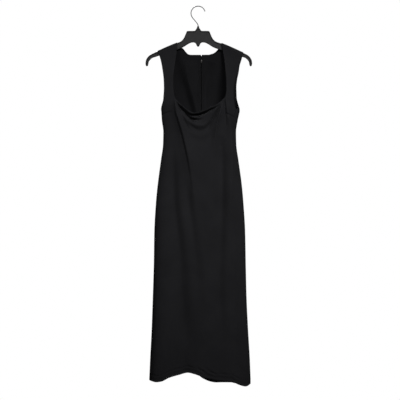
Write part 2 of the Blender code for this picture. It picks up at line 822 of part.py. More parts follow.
def make_pull(place):
    """A flat tab with an eye, hung on the slider's arch, with its origin on the eye's bar."""
    bar = PULL_THICK / 2
    wide, eye = PULL_WIDTH / 2, EYE_WIDTH / 2
    tip, foot = PULL_TIP_WIDTH / 2, bar - PULL_LENGTH
    shape = bmesh.new()
    outline = [(-wide, bar), (wide, bar), (wide, -PULL_STRAIGHT), (tip, foot), (-tip, foot),
               (-wide, -PULL_STRAIGHT)]
    hole = [(-eye, -bar), (eye, -bar), (eye, -bar - EYE_LENGTH), (-eye, -bar - EYE_LENGTH)]
    edges = []
    for ring in (outline, hole):
        points = [shape.verts.new((x, -bar, z)) for x, z in ring]
        edges += [shape.edges.new((a, b)) for a, b in zip(points, points[1:] + points[:1])]
    bmesh.ops.triangle_fill(shape, use_beauty=True, edges=edges)
    grown = bmesh.ops.extrude_face_region(shape, geom=shape.faces[:])
    risen = [item for item in grown["geom"] if isinstance(item, bmesh.types.BMVert)]
    bmesh.ops.translate(shape, vec=(0, PULL_THICK, 0), verts=risen)
    bmesh.ops.recalc_face_normals(shape, faces=shape.faces)
    pull = mesh_object("zip_pull", [], [])
    shape.to_mesh(pull.data)
    shape.free()
    base, top = ARCH_BASE, ARCH_HEIGHT - ARCH_BAR
    axis = CLOTH / 2 + GAP + (base + top) / 2
    pull.matrix_world = place @ Matrix.Translation((0, axis, 0))
    return pull


# ---- Shading and materials ----------------------------------------------------------------

def smooth(thing):
    """Round all but the sharp edges."""
    thing.data.shade_smooth()
    thing.data.set_sharp_from_angle(angle=math.radians(SHARPEST_ROUND))


def coat(thing, name, colour, roughness, metallic=0.0):
    material = bpy.data.materials.get(name) or bpy.data.materials.new(name)
    material.use_nodes = True
    shader = material.node_tree.nodes["Principled BSDF"]
    shader.inputs["Base Color"].default_value = (*colour, 1)
    shader.inputs["Roughness"].default_value = roughness
    shader.inputs["Metallic"].default_value = metallic
    thing.data.materials.append(material)


def main():
    for thing in list(bpy.data.objects):
        bpy.data.objects.remove(thing)
    front = Panel([HalfPanel(LEFT, FRONT), HalfPanel(RIGHT, FRONT)])
    backs = {LEFT: Panel([HalfPanel(LEFT, BACK)]), RIGHT: Panel([HalfPanel(RIGHT, BACK)])}
    words = {LEFT: "left", RIGHT: "right"}

    cloth = [front.cloth("front"), front.hem_turn_up("hem_front")]
    tapes = []
    for side, back in backs.items():
        cloth.append(back.cloth(f"back_{words[side]}"))
        cloth.append(back.hem_turn_up(f"hem_back_{words[side]}"))
        tapes.append(back.zip_tape(f"zip_tape_{words[side]}", side))
    for piece in cloth + tapes:
        smooth(piece)
    for piece in cloth:
        coat(piece, "black_crepe", (0.012, 0.012, 0.0125), 0.85)
    for piece in tapes:
        coat(piece, "black_tape", (0.014, 0.014, 0.015), 0.80)

    for piece in (make_hanger_body(), make_collar()):
        smooth(piece)
        coat(piece, "black_plastic", (0.022, 0.022, 0.023), 0.42)
    coat(make_hook(), "steel_wire", (0.62, 0.62, 0.63), 0.28, 1.0)

    place = slider_place(backs[RIGHT])
    for piece in (make_slider(place), make_pull(place)):
        coat(piece, "nickel", (0.66, 0.64, 0.63), 0.30, 1.0)


main()
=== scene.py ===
"""A long sleeveless dress with a square neck, on a moulded hanger: its looks.

Metres, +Z up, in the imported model's own frame, but the creases are given in millimetres.
The origin is the inside top of the hook.
-Y is the front of the dress, and +X is its right as somebody facing it sees it.
"""

import json
import math

import bmesh
import bpy
import numpy as np
from mathutils import Matrix, Vector, noise


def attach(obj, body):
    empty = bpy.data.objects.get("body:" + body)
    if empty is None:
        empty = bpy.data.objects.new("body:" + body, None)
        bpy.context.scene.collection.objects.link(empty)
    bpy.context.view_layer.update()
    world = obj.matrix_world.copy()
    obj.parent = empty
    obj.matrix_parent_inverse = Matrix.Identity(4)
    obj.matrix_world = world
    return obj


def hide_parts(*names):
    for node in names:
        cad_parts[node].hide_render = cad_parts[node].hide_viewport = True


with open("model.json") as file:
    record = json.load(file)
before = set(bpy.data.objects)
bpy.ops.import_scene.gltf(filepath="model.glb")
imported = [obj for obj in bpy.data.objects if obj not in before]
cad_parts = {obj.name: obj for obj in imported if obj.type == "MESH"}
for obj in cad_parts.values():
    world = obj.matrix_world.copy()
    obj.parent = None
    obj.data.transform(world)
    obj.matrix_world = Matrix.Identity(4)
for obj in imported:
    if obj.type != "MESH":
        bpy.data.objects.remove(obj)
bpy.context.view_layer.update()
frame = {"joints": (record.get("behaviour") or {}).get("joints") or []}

# ==== The front ============================================================================
# One panel of stretch crepe from the shoulders to the hem, cut in one with its straps. The
# neck and the armholes are turned in over a narrow facing, and two darts shape the bust.

LEFT, RIGHT = -1, 1
FRONT, BACK = -1, 1
CLOTH = 0.0012
SEAM = 0.0003
MIDDLE_X = 0.005
CENTRE_BACK_X = 0.0105
UNDERARM_Z = -0.420
HEM_Z = -1.510
NEAR_ZERO, TINY = 1e-6, 1e-15

# The tube that the cloth lies on: from its middle plane to its widest point on either side.
TUBE = (
    # z, left, right
    (-0.184, 0.1897, 0.1941), (-0.209, 0.1791, 0.188), (-0.249, 0.1697, 0.1737),
    (-0.298, 0.163, 0.1584), (-0.33, 0.1619, 0.1549), (-0.363, 0.1632, 0.1549),
    (-0.398, 0.16, 0.1551), (-0.418, 0.1573, 0.1603), (-0.46, 0.1545, 0.1525),
    (-0.508, 0.1485, 0.1455), (-0.557, 0.1495, 0.1465), (-0.622, 0.158, 0.155),
    (-0.72, 0.171, 0.1685), (-0.784, 0.1775, 0.1745), (-0.914, 0.185, 0.1825),
    (-1.044, 0.187, 0.185), (-1.174, 0.191, 0.188), (-1.304, 0.1955, 0.194),
    (-1.433, 0.202, 0.2015), (-1.51, 0.2055, 0.2045),
)

# How far the front and the back stand off the middle plane, and how much of that is flat.
DEPTH = (
    # z, front, back, flat
    (-0.14, 0.007, 0.007, 0.007), (-0.2, 0.013, 0.0115, 0.0069), (-0.25, 0.025, 0.018, 0.0062),
    (-0.3, 0.036, 0.026, 0.0048), (-0.37, 0.048, 0.035, 0.0016), (-0.415, 0.052, 0.039, 0),
    (-0.52, 0.045, 0.036, 0), (-0.62, 0.046, 0.038, 0), (-0.784, 0.05, 0.043, 0),
    (-1.044, 0.05, 0.044, 0), (-1.304, 0.053, 0.048, 0), (-1.54, 0.057, 0.052, 0),
)
ROUNDNESS = 0.80

# Degrees from the side of the tube to each panel's edge, towards its own middle.
EDGE_TURN = (
    # z, front left, back left, front right, back right
    (-0.14, 26, 26, 26, 26), (-0.23, 26, 26, 26, 26), (-0.28, 26, 26, 26, 20),
    (-0.35, 26, 26, 29.5, 18), (-0.37, 25, 25, 29, 17), (-0.385, 22, 22, 28, 13),
    (-0.398, 16, 16, 26, 4), (-0.409, 9, 9, 26, -9), (-0.42, 0, 0, 26, -26),
    (-0.48, 0, 0, 24, -24), (-0.56, 0, 0, 10, -10), (-0.62, 0, 0, 0, 0), (-1.54, 0, 0, 0, 0),
)

# The front neck: its sides, then the sagging edge between its two lower corners.
NECK_SIDES = (
    # z, left x, right x
    (-0.14, -0.0885, 0.093), (-0.172, -0.09, 0.097), (-0.228, -0.097, 0.1055),
    (-0.284, -0.1038, 0.1107), (-0.31, -0.1043, 0.112), (-0.335, -0.1035, 0.1124),
    (-0.358, -0.101, 0.11), (-0.37, -0.0975, 0.1055),
)
FRONT_NECK = (
    # x, z
    (-0.0975, -0.37), (-0.088, -0.383), (-0.06, -0.409), (-0.033, -0.428), (-0.015, -0.433),
    (0.016, -0.4235), (0.05, -0.4095), (0.08, -0.3935), (0.1055, -0.37),
)
NECK_POINT_X = {LEFT: -0.0885, RIGHT: 0.0930}
SHOULDER_TIP_X = {LEFT: -0.1655, RIGHT: 0.1795}

# The hem rises at the left of the middle, where the long folds gather it up.
HEM = (
    # x, front z, back z
    (-0.205, -1.5105, -1.51), (-0.195, -1.516, -1.515), (-0.172, -1.5205, -1.519),
    (-0.15, -1.517, -1.513), (-0.121, -1.5025, -1.496), (-0.078, -1.49, -1.483),
    (-0.045, -1.482, -1.478), (-0.016, -1.488, -1.4875), (0.019, -1.5, -1.5115),
    (0.051, -1.5065, -1.5236), (0.07, -1.5105, -1.5262), (0.1, -1.513, -1.5256),
    (0.132, -1.5165, -1.5256), (0.147, -1.5235, -1.529), (0.165, -1.532, -1.5305),
    (0.191, -1.5385, -1.537), (0.212, -1.527, -1.527),
)

# The cloth bends over the hanger's top edge, which falls away from the middle.
ARM_TOP = (
    # x, z
    (0.075, -0.1436), (0.09, -0.1484), (0.108, -0.155), (0.142, -0.1698), (0.18, -0.1876),
    (0.2, -0.1982),
)
REST = 0.0007
OVER_THE_ARM = (
    # along, out, up
    (0, 0.00015, 0), (0.0038, 0.004, -0.0001), (0.0065, 0.0063, -0.0015),
    (0.0098, 0.007, -0.0047),
)
OVER_STEPS = 9
UNDER_BLEND = (0.33, 0.67)
ROWS_OVER = OVER_STEPS + len(UNDER_BLEND)
ARM_DROP = 0.012

# Columns fan out from the middle of the dress (0), past the neck's corner, to the side.
CORNER_COLUMN, SIDE_COLUMN = 7, 12
MIDDLE_STEPS, STRAP_STEPS, STRAP_ROWS = 58, 27, 100
TOP_PASSES = 8
CROWDED = 0.45
# The folds fade out by the side seam, and a turned-in edge grows more to the inside.
SEAM_HOLD = 0.9
EXTRA_INSIDE = 0.15


def read(table, column, at):
    """A column of a table, along its first column, on a smooth curve that never overshoots."""
    rows = np.array(table, float)
    rows = rows[rows[:, 0].argsort()]
    x, y = rows[:, 0], rows[:, column]
    at = np.clip(at, x[0], x[-1])
    steps = np.diff(x)
    rises = np.diff(y) / steps
    slopes = np.concatenate([[rises[0]], np.zeros(len(x) - 2), [rises[-1]]])
    same = rises[:-1] * rises[1:] > 0
    slopes[1:-1][same] = (2 * rises[:-1] * rises[1:])[same] / (rises[:-1] + rises[1:])[same]
    i = np.clip(np.searchsorted(x, at) - 1, 0, len(steps) - 1)
    t = (at - x[i]) / steps[i]
    start = y[i] * (1 + 2 * t) * (1 - t) ** 2 + slopes[i] * steps[i] * t * (1 - t) ** 2
    end = y[i + 1] * t * t * (3 - 2 * t) + slopes[i + 1] * steps[i] * t * t * (t - 1)
    return start + end


def half_width(side, z):
    return read(TUBE, 1 if side == LEFT else 2, z)


def edge_angle(side, face, z):
    """The angle round the tube, from its middle, of a panel's edge."""
    column = {LEFT: 1, RIGHT: 3}[side] + (face == BACK)
    return np.radians(90 - read(EDGE_TURN, column, z))


def stand_off(face, angle, z):
    """How far the tube stands off the middle plane, which it crosses at its side."""
    cosine = np.cos(angle)
    toward = np.where(cosine >= 0, face, -face)
    depth = np.where(toward == FRONT, read(DEPTH, 1, z), read(DEPTH, 2, z))
    flat = read(DEPTH, 3, z)
    return toward * (flat + (depth - flat) * np.abs(cosine) ** ROUNDNESS)


def lengths(points, axis=0):
    """How far each point lies along its line, from the first."""
    steps = np.nan_to_num(np.linalg.norm(np.diff(points, axis=axis), axis=-1))
    return np.concatenate([0 * steps.take([0], axis), np.cumsum(steps, axis)], axis)


def unit(vectors):
    return vectors / np.maximum(np.linalg.norm(vectors, axis=-1, keepdims=True), TINY)


def crease_line(rows, steps=40):
    """A crease's points in metres, smoothed, with its depth and its two widths at each."""
    rows = np.array(rows) / 1000
    run = lengths(rows[:, :2])
    at, table = np.linspace(0, run[-1], steps), np.column_stack([run, rows])
    return np.column_stack([read(table, column, at) for column in range(1, 6)])


CREASE_REACH = 2.6


def pressed(creases, x, z, sharpness):
    """How far the creases together move the cloth in at each x, z. Ridges are negative."""
    moved = np.zeros_like(x)
    for rows in creases:
        line = crease_line(rows)
        reach = CREASE_REACH * line[:, 3:].max()
        low, high = line[:, :2].min(axis=0) - reach, line[:, :2].max(axis=0) + reach
        near = (x > low[0]) & (x < high[0]) & (z > low[1]) & (z < high[1])
        start, step = line[:-1, :2], np.diff(line[:, :2], axis=0)
        away = np.stack([x[near], z[near]], -1)[:, None, :] - start
        share = np.clip((away * step).sum(-1) / (step**2).sum(-1), 0, 1)
        off = away - share[..., None] * step
        distance = np.hypot(off[..., 0], off[..., 1])
        best, pick = distance.argmin(axis=1), np.arange(len(distance))
        share, off, distance = share[pick, best], off[pick, best], distance[pick, best]
        turn = step[best, 0] * off[:, 1] - step[best, 1] * off[:, 0]
        sizes = line[best, 2:].T * (1 - share) + line[best + 1, 2:].T * share
        wide = np.where(turn > 0, sizes[2], sizes[1])
        moved[near] += sizes[0] * np.exp(-((distance / wide) ** sharpness))
    return moved


def ripple(x, z, seed, across, down, height):
    """Slow unevenness, as any hung cloth has."""
    flat = np.column_stack([x.ravel() / across, z.ravel() / down])
    values = [noise.noise((u, v, seed)) for u, v in flat.tolist()]
    return height * np.array(values).reshape(x.shape)


# Soft folds, in millimetres: each runs down, or from left to right. Width is before and past the
# line: to its left and right where it runs down, and below and above where it runs across.
FRONT_FOLDS = (
    (  # the long shallow fold from the waist to the hem's rise
        # x, z, deep, before, past
        (-106.7, -541.1, 0, 20, 16), (-102.6, -695.2, 8.8, 22, 17),
        (-100.6, -784.5, 11.9, 26, 19), (-90.4, -885.8, 13.1, 30, 21),
        (-82.3, -958.8, 13.1, 32, 23), (-74.2, -1068.3, 12.5, 36, 26),
        (-70.2, -1149.5, 11.9, 38, 26), (-62.1, -1271.2, 10, 40, 28), (-49.9, -1372.6, 0, 40, 30),
    ),
    (  # a shorter one beside it
        (-43.8, -723.6, 2.3, 18, 16), (-41.8, -784.5, 9.2, 19, 16), (-31.6, -865.6, 8.6, 20, 17),
        (-21.5, -946.7, 6.3, 22, 18), (-9.3, -1048.1, 4.8, 24, 20), (-1.2, -1129.2, 3.9, 26, 22),
        (2.8, -1250.9, 0, 28, 24),
    ),
    (  # the right one, from the breast to the shin
        (88, -520.8, 0, 22, 14), (92.1, -581.6, 10.2, 26, 16), (92.1, -784.5, 15.3, 34, 19),
        (86, -946.7, 15.3, 36, 23), (79.9, -1108.9, 13.6, 38, 26), (88, -1271.2, 11.9, 38, 28),
        (96.1, -1392.9, 0, 38, 30),
    ),
    (  # a shallow fall down the right of the skirt
        (142, -820, 0, 20, 14), (144, -946.7, 4.9, 24, 15), (142, -1100, 4.4, 26, 16),
        (146, -1270, 6.2, 30, 18), (156, -1460, 3.9, 30, 20),
    ),
    (  # the outer left fall, where the skirt turns to its side
        (-156, -700, 0, 24, 50), (-162, -900, -9, 24, 50), (-166, -1150, -11, 24, 50),
        (-172, -1350, -13, 22, 50), (-178, -1538, -13, 22, 50),
    ),
    (  # the dip under the hem's rise
        (-56, -1390, 0, 30, 24), (-54, -1450, 7, 34, 26), (-52, -1530, 12, 34, 26),
    ),
)

# Folds with a crisp crest, which fall away faster on their left.
FRONT_CRESTS = (
    (  # the long one from the neck's left corner
        # x, z, deep, left, right
        (-99, -374, 0, 6, 12), (-96.3, -385, -7, 8, 14), (-94.5, -404, -13, 10, 16),
        (-91.3, -427.5, -15.5, 11, 18), (-81.3, -459.9, -17.5, 12, 24),
        (-71.2, -492.4, -19, 13, 32), (-61, -528.9, -20, 14, 40), (-51.7, -569.5, -20, 15, 46),
        (-38.7, -634.4, -17, 17, 52), (-29.4, -695.2, -11.5, 19, 54), (-20.5, -768.2, -5, 20, 54),
        (-14, -830, 0, 20, 54),
    ),
    (  # the pale one under the neck's right corner
        (101, -370.7, 0, 6, 6), (88.5, -419.4, -8, 7.5, 8), (78, -459.9, -11, 8.5, 9),
        (69, -500.5, -10.5, 10, 11), (64.2, -545, -7, 13, 15), (64, -622.2, 0, 16, 20),
    ),
    (  # the right one, from the dart down
        (116.5, -385, 0, 10, 10), (118, -410, -8, 15, 10), (121, -440, -12.5, 18, 12),
        (127.5, -485, -15, 20, 15), (134, -540, -16.5, 21, 18), (135, -640, -15, 22, 21),
        (130, -743.8, -10, 22, 24), (125, -870, 0, 22, 26),
    ),
)

# The slack under the neck falls in rolls, caught up at its corners.
FRONT_ROLLS = (
    (  # the deep hollow under the rolled edge, from the left corner
        # x, z, deep, below, above
        (-93, -386, 0, 3, 4), (-80.3, -405, 12, 3.4, 6), (-69, -418, 18, 4, 8.5),
        (-52, -435, 21.5, 4.4, 9), (-42, -448, 23, 4.4, 9), (-33, -456.5, 21.5, 4.4, 8),
        (-18, -460.5, 14, 4.4, 6), (0, -460.5, 5.5, 4.4, 4.8), (20, -454, 0, 4, 4),
    ),
    (  # the hollow that follows the edge to the right
        (-56, -427, 0, 3, 3), (-42, -436.5, 9, 3.2, 4.4), (-25.6, -443, 16.5, 3.6, 6.2),
        (-5, -443, 21, 3.8, 7.4), (19, -435.5, 20.5, 3.8, 7.2), (43, -423.5, 17.5, 3.8, 6.2),
        (63.7, -412.5, 11, 3.6, 5), (80, -401, 0, 3.2, 3.4),
    ),
    (  # the roll across the breast
        (-95, -395, 0, 6, 5), (-80, -424, -3.4, 9, 6), (-64.1, -445, -4.6, 10, 7),
        (-43.8, -462, -5.6, 10, 8), (-25.6, -473, -6, 9, 8), (-5.3, -481.5, -5.8, 9, 8),
        (15, -483, -4.8, 9, 8), (29, -476, -3, 8, 8), (40, -464, 0, 7, 8),
    ),
    (  # the dark bow under it, rising to the right corner
        (-38, -478, 0, 10, 6), (-26, -490, 2.6, 12, 7), (-10, -500.5, 4.2, 12, 8),
        (8, -505, 4.2, 13, 10), (25.5, -499, 5, 11, 11), (39, -483, 6, 8, 11),
        (50, -464, 0, 8, 10),
    ),
    (  # a faint one inside the left ridge
        (-84.4, -395.1, 0, 5, 4), (-74.2, -425, 3, 7, 4), (-59, -460, 3.8, 8, 5),
        (-45.8, -490, 2.6, 10, 6), (-20, -520, 0, 11, 8),
    ),
    (  # the last shallow bow
        (-60, -495, 0, 14, 10), (-30, -530, 3, 18, 12), (10, -545, 3.4, 20, 14),
        (42, -528, 3, 18, 12), (60, -490, 0, 14, 10),
    ),
)

# Sharp folds in the straps and at the darts.
FRONT_PINCHES = (
    (  # the sharp foot of the long crest
        # x, z, deep, before, past
        (-100.5, -385, 0, 3, 3), (-97.5, -427.5, 2.4, 4, 3.2), (-87.5, -459.9, 3.4, 4.5, 3.4),
        (-77.5, -492.4, 4.2, 5, 3.8), (-67.7, -528.9, 4.8, 5.5, 4.2),
        (-58.5, -569.5, 4.8, 6, 4.6), (-45.8, -634.4, 3.6, 7, 5.5), (-36.2, -695.2, 2, 8, 6.5),
        (-28, -745, 0, 9, 7.5),
    ),
    (  # the one that runs down from the neck's right corner
        (88, -390, 0, 4.6, 4.6), (79, -412, 9, 5.2, 5), (69.5, -431, 12, 5.6, 5.2),
        (58.5, -453, 10.5, 6, 5.4), (48, -474, 7, 6.4, 5.8), (41, -488, 4.5, 7, 6.2),
        (32, -505, 0, 8, 7),
    ),
    (  # the fine fold beside the neck's right corner
        (104.3, -368, 0, 4, 2.2), (105, -380, 5.2, 6, 2.4), (106.6, -400, 8.4, 7, 2.6),
        (108.4, -430, 7, 7.5, 3), (110, -460, 4, 8, 3.6), (112, -490, 0, 8, 4),
    ),
    (  # the right dart
        (98.2, -426.5, 0, 6, 1.8), (112.4, -433, 2.6, 8, 2), (124.5, -439, 3.6, 8, 2),
        (146, -452, 3.8, 8, 2),
    ),
    (  # the left dart
        (-150, -437, 3.6, 8, 2), (-131, -431, 3.4, 8, 2), (-116, -426.5, 2.6, 8, 2),
        (-103.8, -424, 0, 6, 1.8),
    ),
)

# The neck's edge rolls forward between the straps.
NECK_ROLL = (
    # drop below the edge, forward
    (0, 0.0075), (0.004, 0.008), (0.01, 0.0065), (0.02, 0.0045), (0.04, 0.003), (0.08, 0.0012),
    (0.13, 0),
)


def corner_of(side, face):
    """x and z of the corner where a panel's neck meets its strap."""
    if face == FRONT:
        return NECK_SIDES[-1][1 if side == LEFT else 2], NECK_SIDES[-1][0]
    return NECK_POINT_X[side], BACK_NECK[0][1]


def column_angle(side, face, column, z):
    """The angle round the tube of each column of the body."""
    corner_x, corner_z = corner_of(side, face)
    corner = math.asin(side * (corner_x - MIDDLE_X) / half_width(side, corner_z))
    middle = CENTRE_BACK_X if face == BACK else MIDDLE_X
    start = np.arcsin(side * (middle - MIDDLE_X) / half_width(side, z))
    inner = start + (corner - start) * column / CORNER_COLUMN
    past = (column - CORNER_COLUMN) / (SIDE_COLUMN - CORNER_COLUMN)
    outer = corner + (edge_angle(side, face, z) - corner) * past
    return np.where(column <= CORNER_COLUMN, inner, outer)


def place(side, face, column, z):
    angle = column_angle(side, face, column, z)
    return MIDDLE_X + side * half_width(side, z) * np.sin(angle), stand_off(face, angle, z)


def side_seam(side, face, z):
    """The panel's edge below the underarm, half a seam short of its neighbour's."""
    angle = edge_angle(side, FRONT, z)
    wide, depth = half_width(side, z), read(DEPTH, 1, z)
    sine, cosine = np.sin(angle), np.maximum(np.cos(angle), NEAR_ZERO)
    along = np.stack([-side * wide * cosine, -depth * ROUNDNESS * cosine ** (ROUNDNESS - 1) * sine])
    along /= np.hypot(*along)
    short = along * -face * SEAM / 2
    return MIDDLE_X + side * wide * sine + short[0], stand_off(FRONT, angle, z) + short[1]


def arm_line(x):
    """Where the middle of the cloth passes over the hanger's arm."""
    table = np.array(ARM_TOP)
    return np.interp(np.abs(x), table[:, 0], table[:, 1]) + REST + CLOTH / 2


def hang_half(side, face, columns, fall, strap_rows, shape):
    """x, y and z of half a panel. Its strap's rows come first, and are empty over the neck."""
    corner_x, corner_z = corner_of(side, face)
    first = math.asin(side * (corner_x - MIDDLE_X) / half_width(side, corner_z))
    last = float(edge_angle(side, face, corner_z))
    strap = np.maximum(columns - CORNER_COLUMN, 0) / (SIDE_COLUMN - CORNER_COLUMN)
    reach = math.sin(last) - math.sin(first)
    share = (np.sin(first + (last - first) * strap) - math.sin(first)) / reach
    top_x = NECK_POINT_X[side] + (SHOULDER_TIP_X[side] - NECK_POINT_X[side]) * share
    shoulder = arm_line(top_x)

    top = np.full(len(columns), corner_z)
    neck_table = FRONT_NECK if face == FRONT else BACK_NECK
    for _ in range(TOP_PASSES):
        top = read(neck_table, 1, place(side, face, columns, top)[0])
    foot = corner_z if face == FRONT else shoulder - ARM_DROP
    top = np.where(columns >= CORNER_COLUMN - NEAR_ZERO, foot, top)
    hem_x = place(side, face, columns, np.full(len(columns), HEM_Z))[0]
    hem = read(HEM, 1 if face == FRONT else 2, hem_x)
    hem[-1] = read(HEM, 1, MIDDLE_X + side * half_width(side, HEM_Z))

    z = top + (hem - top) * fall[:, None]
    x, y = place(side, face, columns, z)
    if face == BACK:
        x[:, 0] += side * read(ZIP_SPREAD, 1, z[:, 0]) / 2
    below = z[:, -1] <= UNDERARM_Z
    x[below, -1], y[below, -1] = side_seam(side, face, z[below, -1])
    held = np.clip((SIDE_COLUMN - columns) / SEAM_HOLD, 0, 1)
    y += shape(x, z, top - z, np.clip(columns / CORNER_COLUMN, 0, 1)) * held * held * (3 - 2 * held)

    if strap_rows:
        down = (np.arange(strap_rows) / strap_rows)[:, None]
        z_strap = shoulder - ARM_DROP + (corner_z - shoulder + ARM_DROP) * down
        neck = read(NECK_SIDES, 1 if side == LEFT else 2, z_strap)
        wide, far = half_width(side, z_strap), np.ones_like(z_strap)
        edge = MIDDLE_X + side * wide * np.sin(edge_angle(side, face, z_strap))
        x_strap = neck + (edge - neck) * share
        angle = np.arcsin(np.clip(side * (x_strap - MIDDLE_X) / wide, -1, 1))
        y_strap = stand_off(face, angle, z_strap) + shape(x_strap, z_strap, far, far)
        x, y, z = (np.concatenate(pair) for pair in ((x_strap, x), (y_strap, y), (z_strap, z)))

    at = np.linspace(0, OVER_THE_ARM[-1][0], OVER_STEPS)[:, None]
    out, up = read(OVER_THE_ARM, 1, at), read(OVER_THE_ARM, 2, at)
    over = np.stack(np.broadcast_arrays(top_x, face * out, shoulder + up), -1)
    body = np.stack([x, y, z], -1)
    under = over[-1] + (body[0] - over[-1]) * np.array(UNDER_BLEND)[:, None, None]
    grid = np.concatenate([over, under, body])
    grid[: ROWS_OVER + strap_rows, columns < CORNER_COLUMN - NEAR_ZERO] = np.nan
    return grid


def new_object(name, data):
    made = bpy.data.objects.new(name, data)
    bpy.context.scene.collection.objects.link(made)
    return made


def sew(name, grid, thick=CLOTH, inward=0.0, edge=None, uv_start=(0, 0), face=FRONT, rim=3):
    """A closed wall of cloth round a grid of points, with its raw edges rounded over."""
    alive = ~np.isnan(grid[..., 0])
    number = np.cumsum(alive.ravel()).reshape(alive.shape) - 1
    r, c = np.nonzero(alive[:-1, :-1] & alive[1:, :-1] & alive[:-1, 1:] & alive[1:, 1:])
    squares = np.stack([number[r, c], number[r + 1, c], number[r + 1, c + 1], number[r, c + 1]], 1)
    used, squares = np.unique(squares, return_inverse=True)
    squares, points = squares.reshape(-1, 4), grid[alive][used]
    count = len(points)

    a, b, c, d = (points[squares[:, k]] for k in range(4))
    flat = np.cross(c - a, d - b)
    if flat[:, 1].sum() * face < 0:
        squares, flat = squares[:, ::-1], -flat
    normals = np.zeros_like(points)
    for corner in range(4):
        np.add.at(normals, squares[:, corner], flat)
    normals = unit(normals)
    extra = np.zeros(count) if edge is None else edge[alive][used]
    half = (thick + extra)[:, None] / 2
    middle = points - normals * (inward + EXTRA_INSIDE * extra)[:, None]

    forward = np.concatenate([squares[:, [k, (k + 1) % 4]] for k in range(4)])
    border = forward[~np.isin(forward @ [count, 1], forward @ [1, count])]
    first, second = border.T
    follow, step = np.zeros_like(points), unit(points[second] - points[first])
    np.add.at(follow, first, step)
    np.add.at(follow, second, step)
    ends = np.unique(border)
    beyond = unit(np.cross(follow[ends], normals[ends]))

    # The outer face, the inner one, then the rings that turn from one to the other.
    layers = [middle + normals * half, middle - normals * half]
    end_number = np.zeros(count, int)
    end_number[ends] = np.arange(len(ends))
    chain = [np.arange(count)]
    for turn in np.pi * np.arange(1, rim) / rim:
        chain.append(sum(map(len, layers)) + end_number)
        way = normals[ends] * math.cos(turn) + beyond * math.sin(turn)
        layers.append(middle[ends] + way * half[ends])
    chain.append(count + np.arange(count))
    faces = [squares, squares[:, ::-1] + count]
    for one, two in zip(chain, chain[1:]):
        faces.append(np.stack([one[second], one[first], two[first], two[second]], 1))
    reverse = np.zeros(sum(map(len, faces)), np.int32)
    reverse[len(squares) : 2 * len(squares)] = 1
    reverse[2 * len(squares) + (rim + 1) // 2 * len(border) :] = 1

    mesh = bpy.data.meshes.new(name)
    mesh.from_pydata(np.concatenate(layers), [], np.concatenate(faces))
    mesh.polygons.foreach_set("material_index", reverse)
    mesh.validate()
    mesh.shade_smooth()

    # Metres across and down the cloth, for its weave.
    u, v = lengths(grid, 1), lengths(grid)
    middle_column = np.argmin(np.abs(np.nan_to_num(grid[-1, :, 0], nan=9.0) - MIDDLE_X))
    u, v = u - u[:, middle_column, None] + uv_start[0], v - v[-1] + uv_start[1]
    cloth = np.stack([u, v], -1)[alive][used]
    cloth = np.concatenate([cloth, cloth] + [cloth[ends]] * (rim - 1))
    index = np.empty(len(mesh.loops), np.int32)
    mesh.loops.foreach_get("vertex_index", index)
    mesh.uv_layers.new(name="cloth").data.foreach_set("uv", cloth[index].astype(np.float32).ravel())
    return new_object(name, mesh)


def steps_between(parts):
    """Levels from 0 to 1, from runs of (length, first step, last step) in metres."""
    levels = [0.0]
    for length, first, last in parts:
        start = levels[-1]
        count = max(2, round(2 * length / (first + last)))
        sizes = np.linspace(first, last, count)
        levels += list(start + np.cumsum(sizes) * length / sizes.sum())
    return np.array(levels) / levels[-1]


def side_steps():
    """Columns past the neck's corner, closer together near the neck and the armhole."""
    t = np.linspace(0, 1, STRAP_STEPS + 1)
    t = (1 - CROWDED) * t + CROWDED * (0.5 - 0.5 * np.cos(np.pi * t))
    return CORNER_COLUMN + (SIDE_COLUMN - CORNER_COLUMN) * t


FACING, FACING_FLAT, FACING_FADE = 0.0008, 0.006, 0.010


def edge_growth(grid, columns, first_body_row):
    """How much thicker the cloth is where it is turned in over its facing."""
    run = lengths(grid, 1)
    corner = np.argmin(np.abs(columns - CORNER_COLUMN))
    neck = np.abs(run - run[:, corner, None])
    body, drop = neck[first_body_row:], lengths(grid[first_body_row:])
    body[:] = np.where(columns > CORNER_COLUMN, np.hypot(body, drop), drop)
    below = np.clip(UNDERARM_Z - grid[..., 2], 0, None)
    armhole = np.hypot(run[:, -1:] - run, 3 * np.nan_to_num(below, nan=1.0))
    nearest = np.minimum(neck, armhole)
    return FACING * np.clip((FACING_FADE - nearest) / (FACING_FADE - FACING_FLAT), 0, 1)


front_fall = steps_between((
    (0.008, 0.0009, 0.001), (0.075, 0.0011, 0.0015), (0.12, 0.0016, 0.007),
    (0.84, 0.0078, 0.0082), (0.06, 0.003, 0.0018),
))
half_columns = np.concatenate([np.linspace(0, CORNER_COLUMN, MIDDLE_STEPS + 1)[:-1], side_steps()])

HEM_LINE, HEM_DENT, HEM_TUCK, HEM_TUCK_UP = 0.0245, 0.0022, 0.0036, 0.0085
HEM_LINE_WIDE, HEM_TUCK_WIDE, HEM_PUCKER_WIDE = 0.0040, 0.0090, 0.0110
HEM_PUCKER, HEM_SLACK_X, HEM_SLACK_WIDE, HEM_SLACK_LEAST = 0.0017, 0.038, 0.032, 0.22
ABOVE_HEM_Z = -1.40
SOFT, CREST, PINCH = 2.0, 1.2, 1.4
FRONT_SMOOTH_Z, FRONT_SMOOTH_FADE = -0.26, 0.12


def bell(value, middle, wide):
    return np.exp(-(((value - middle) / wide) ** 2))


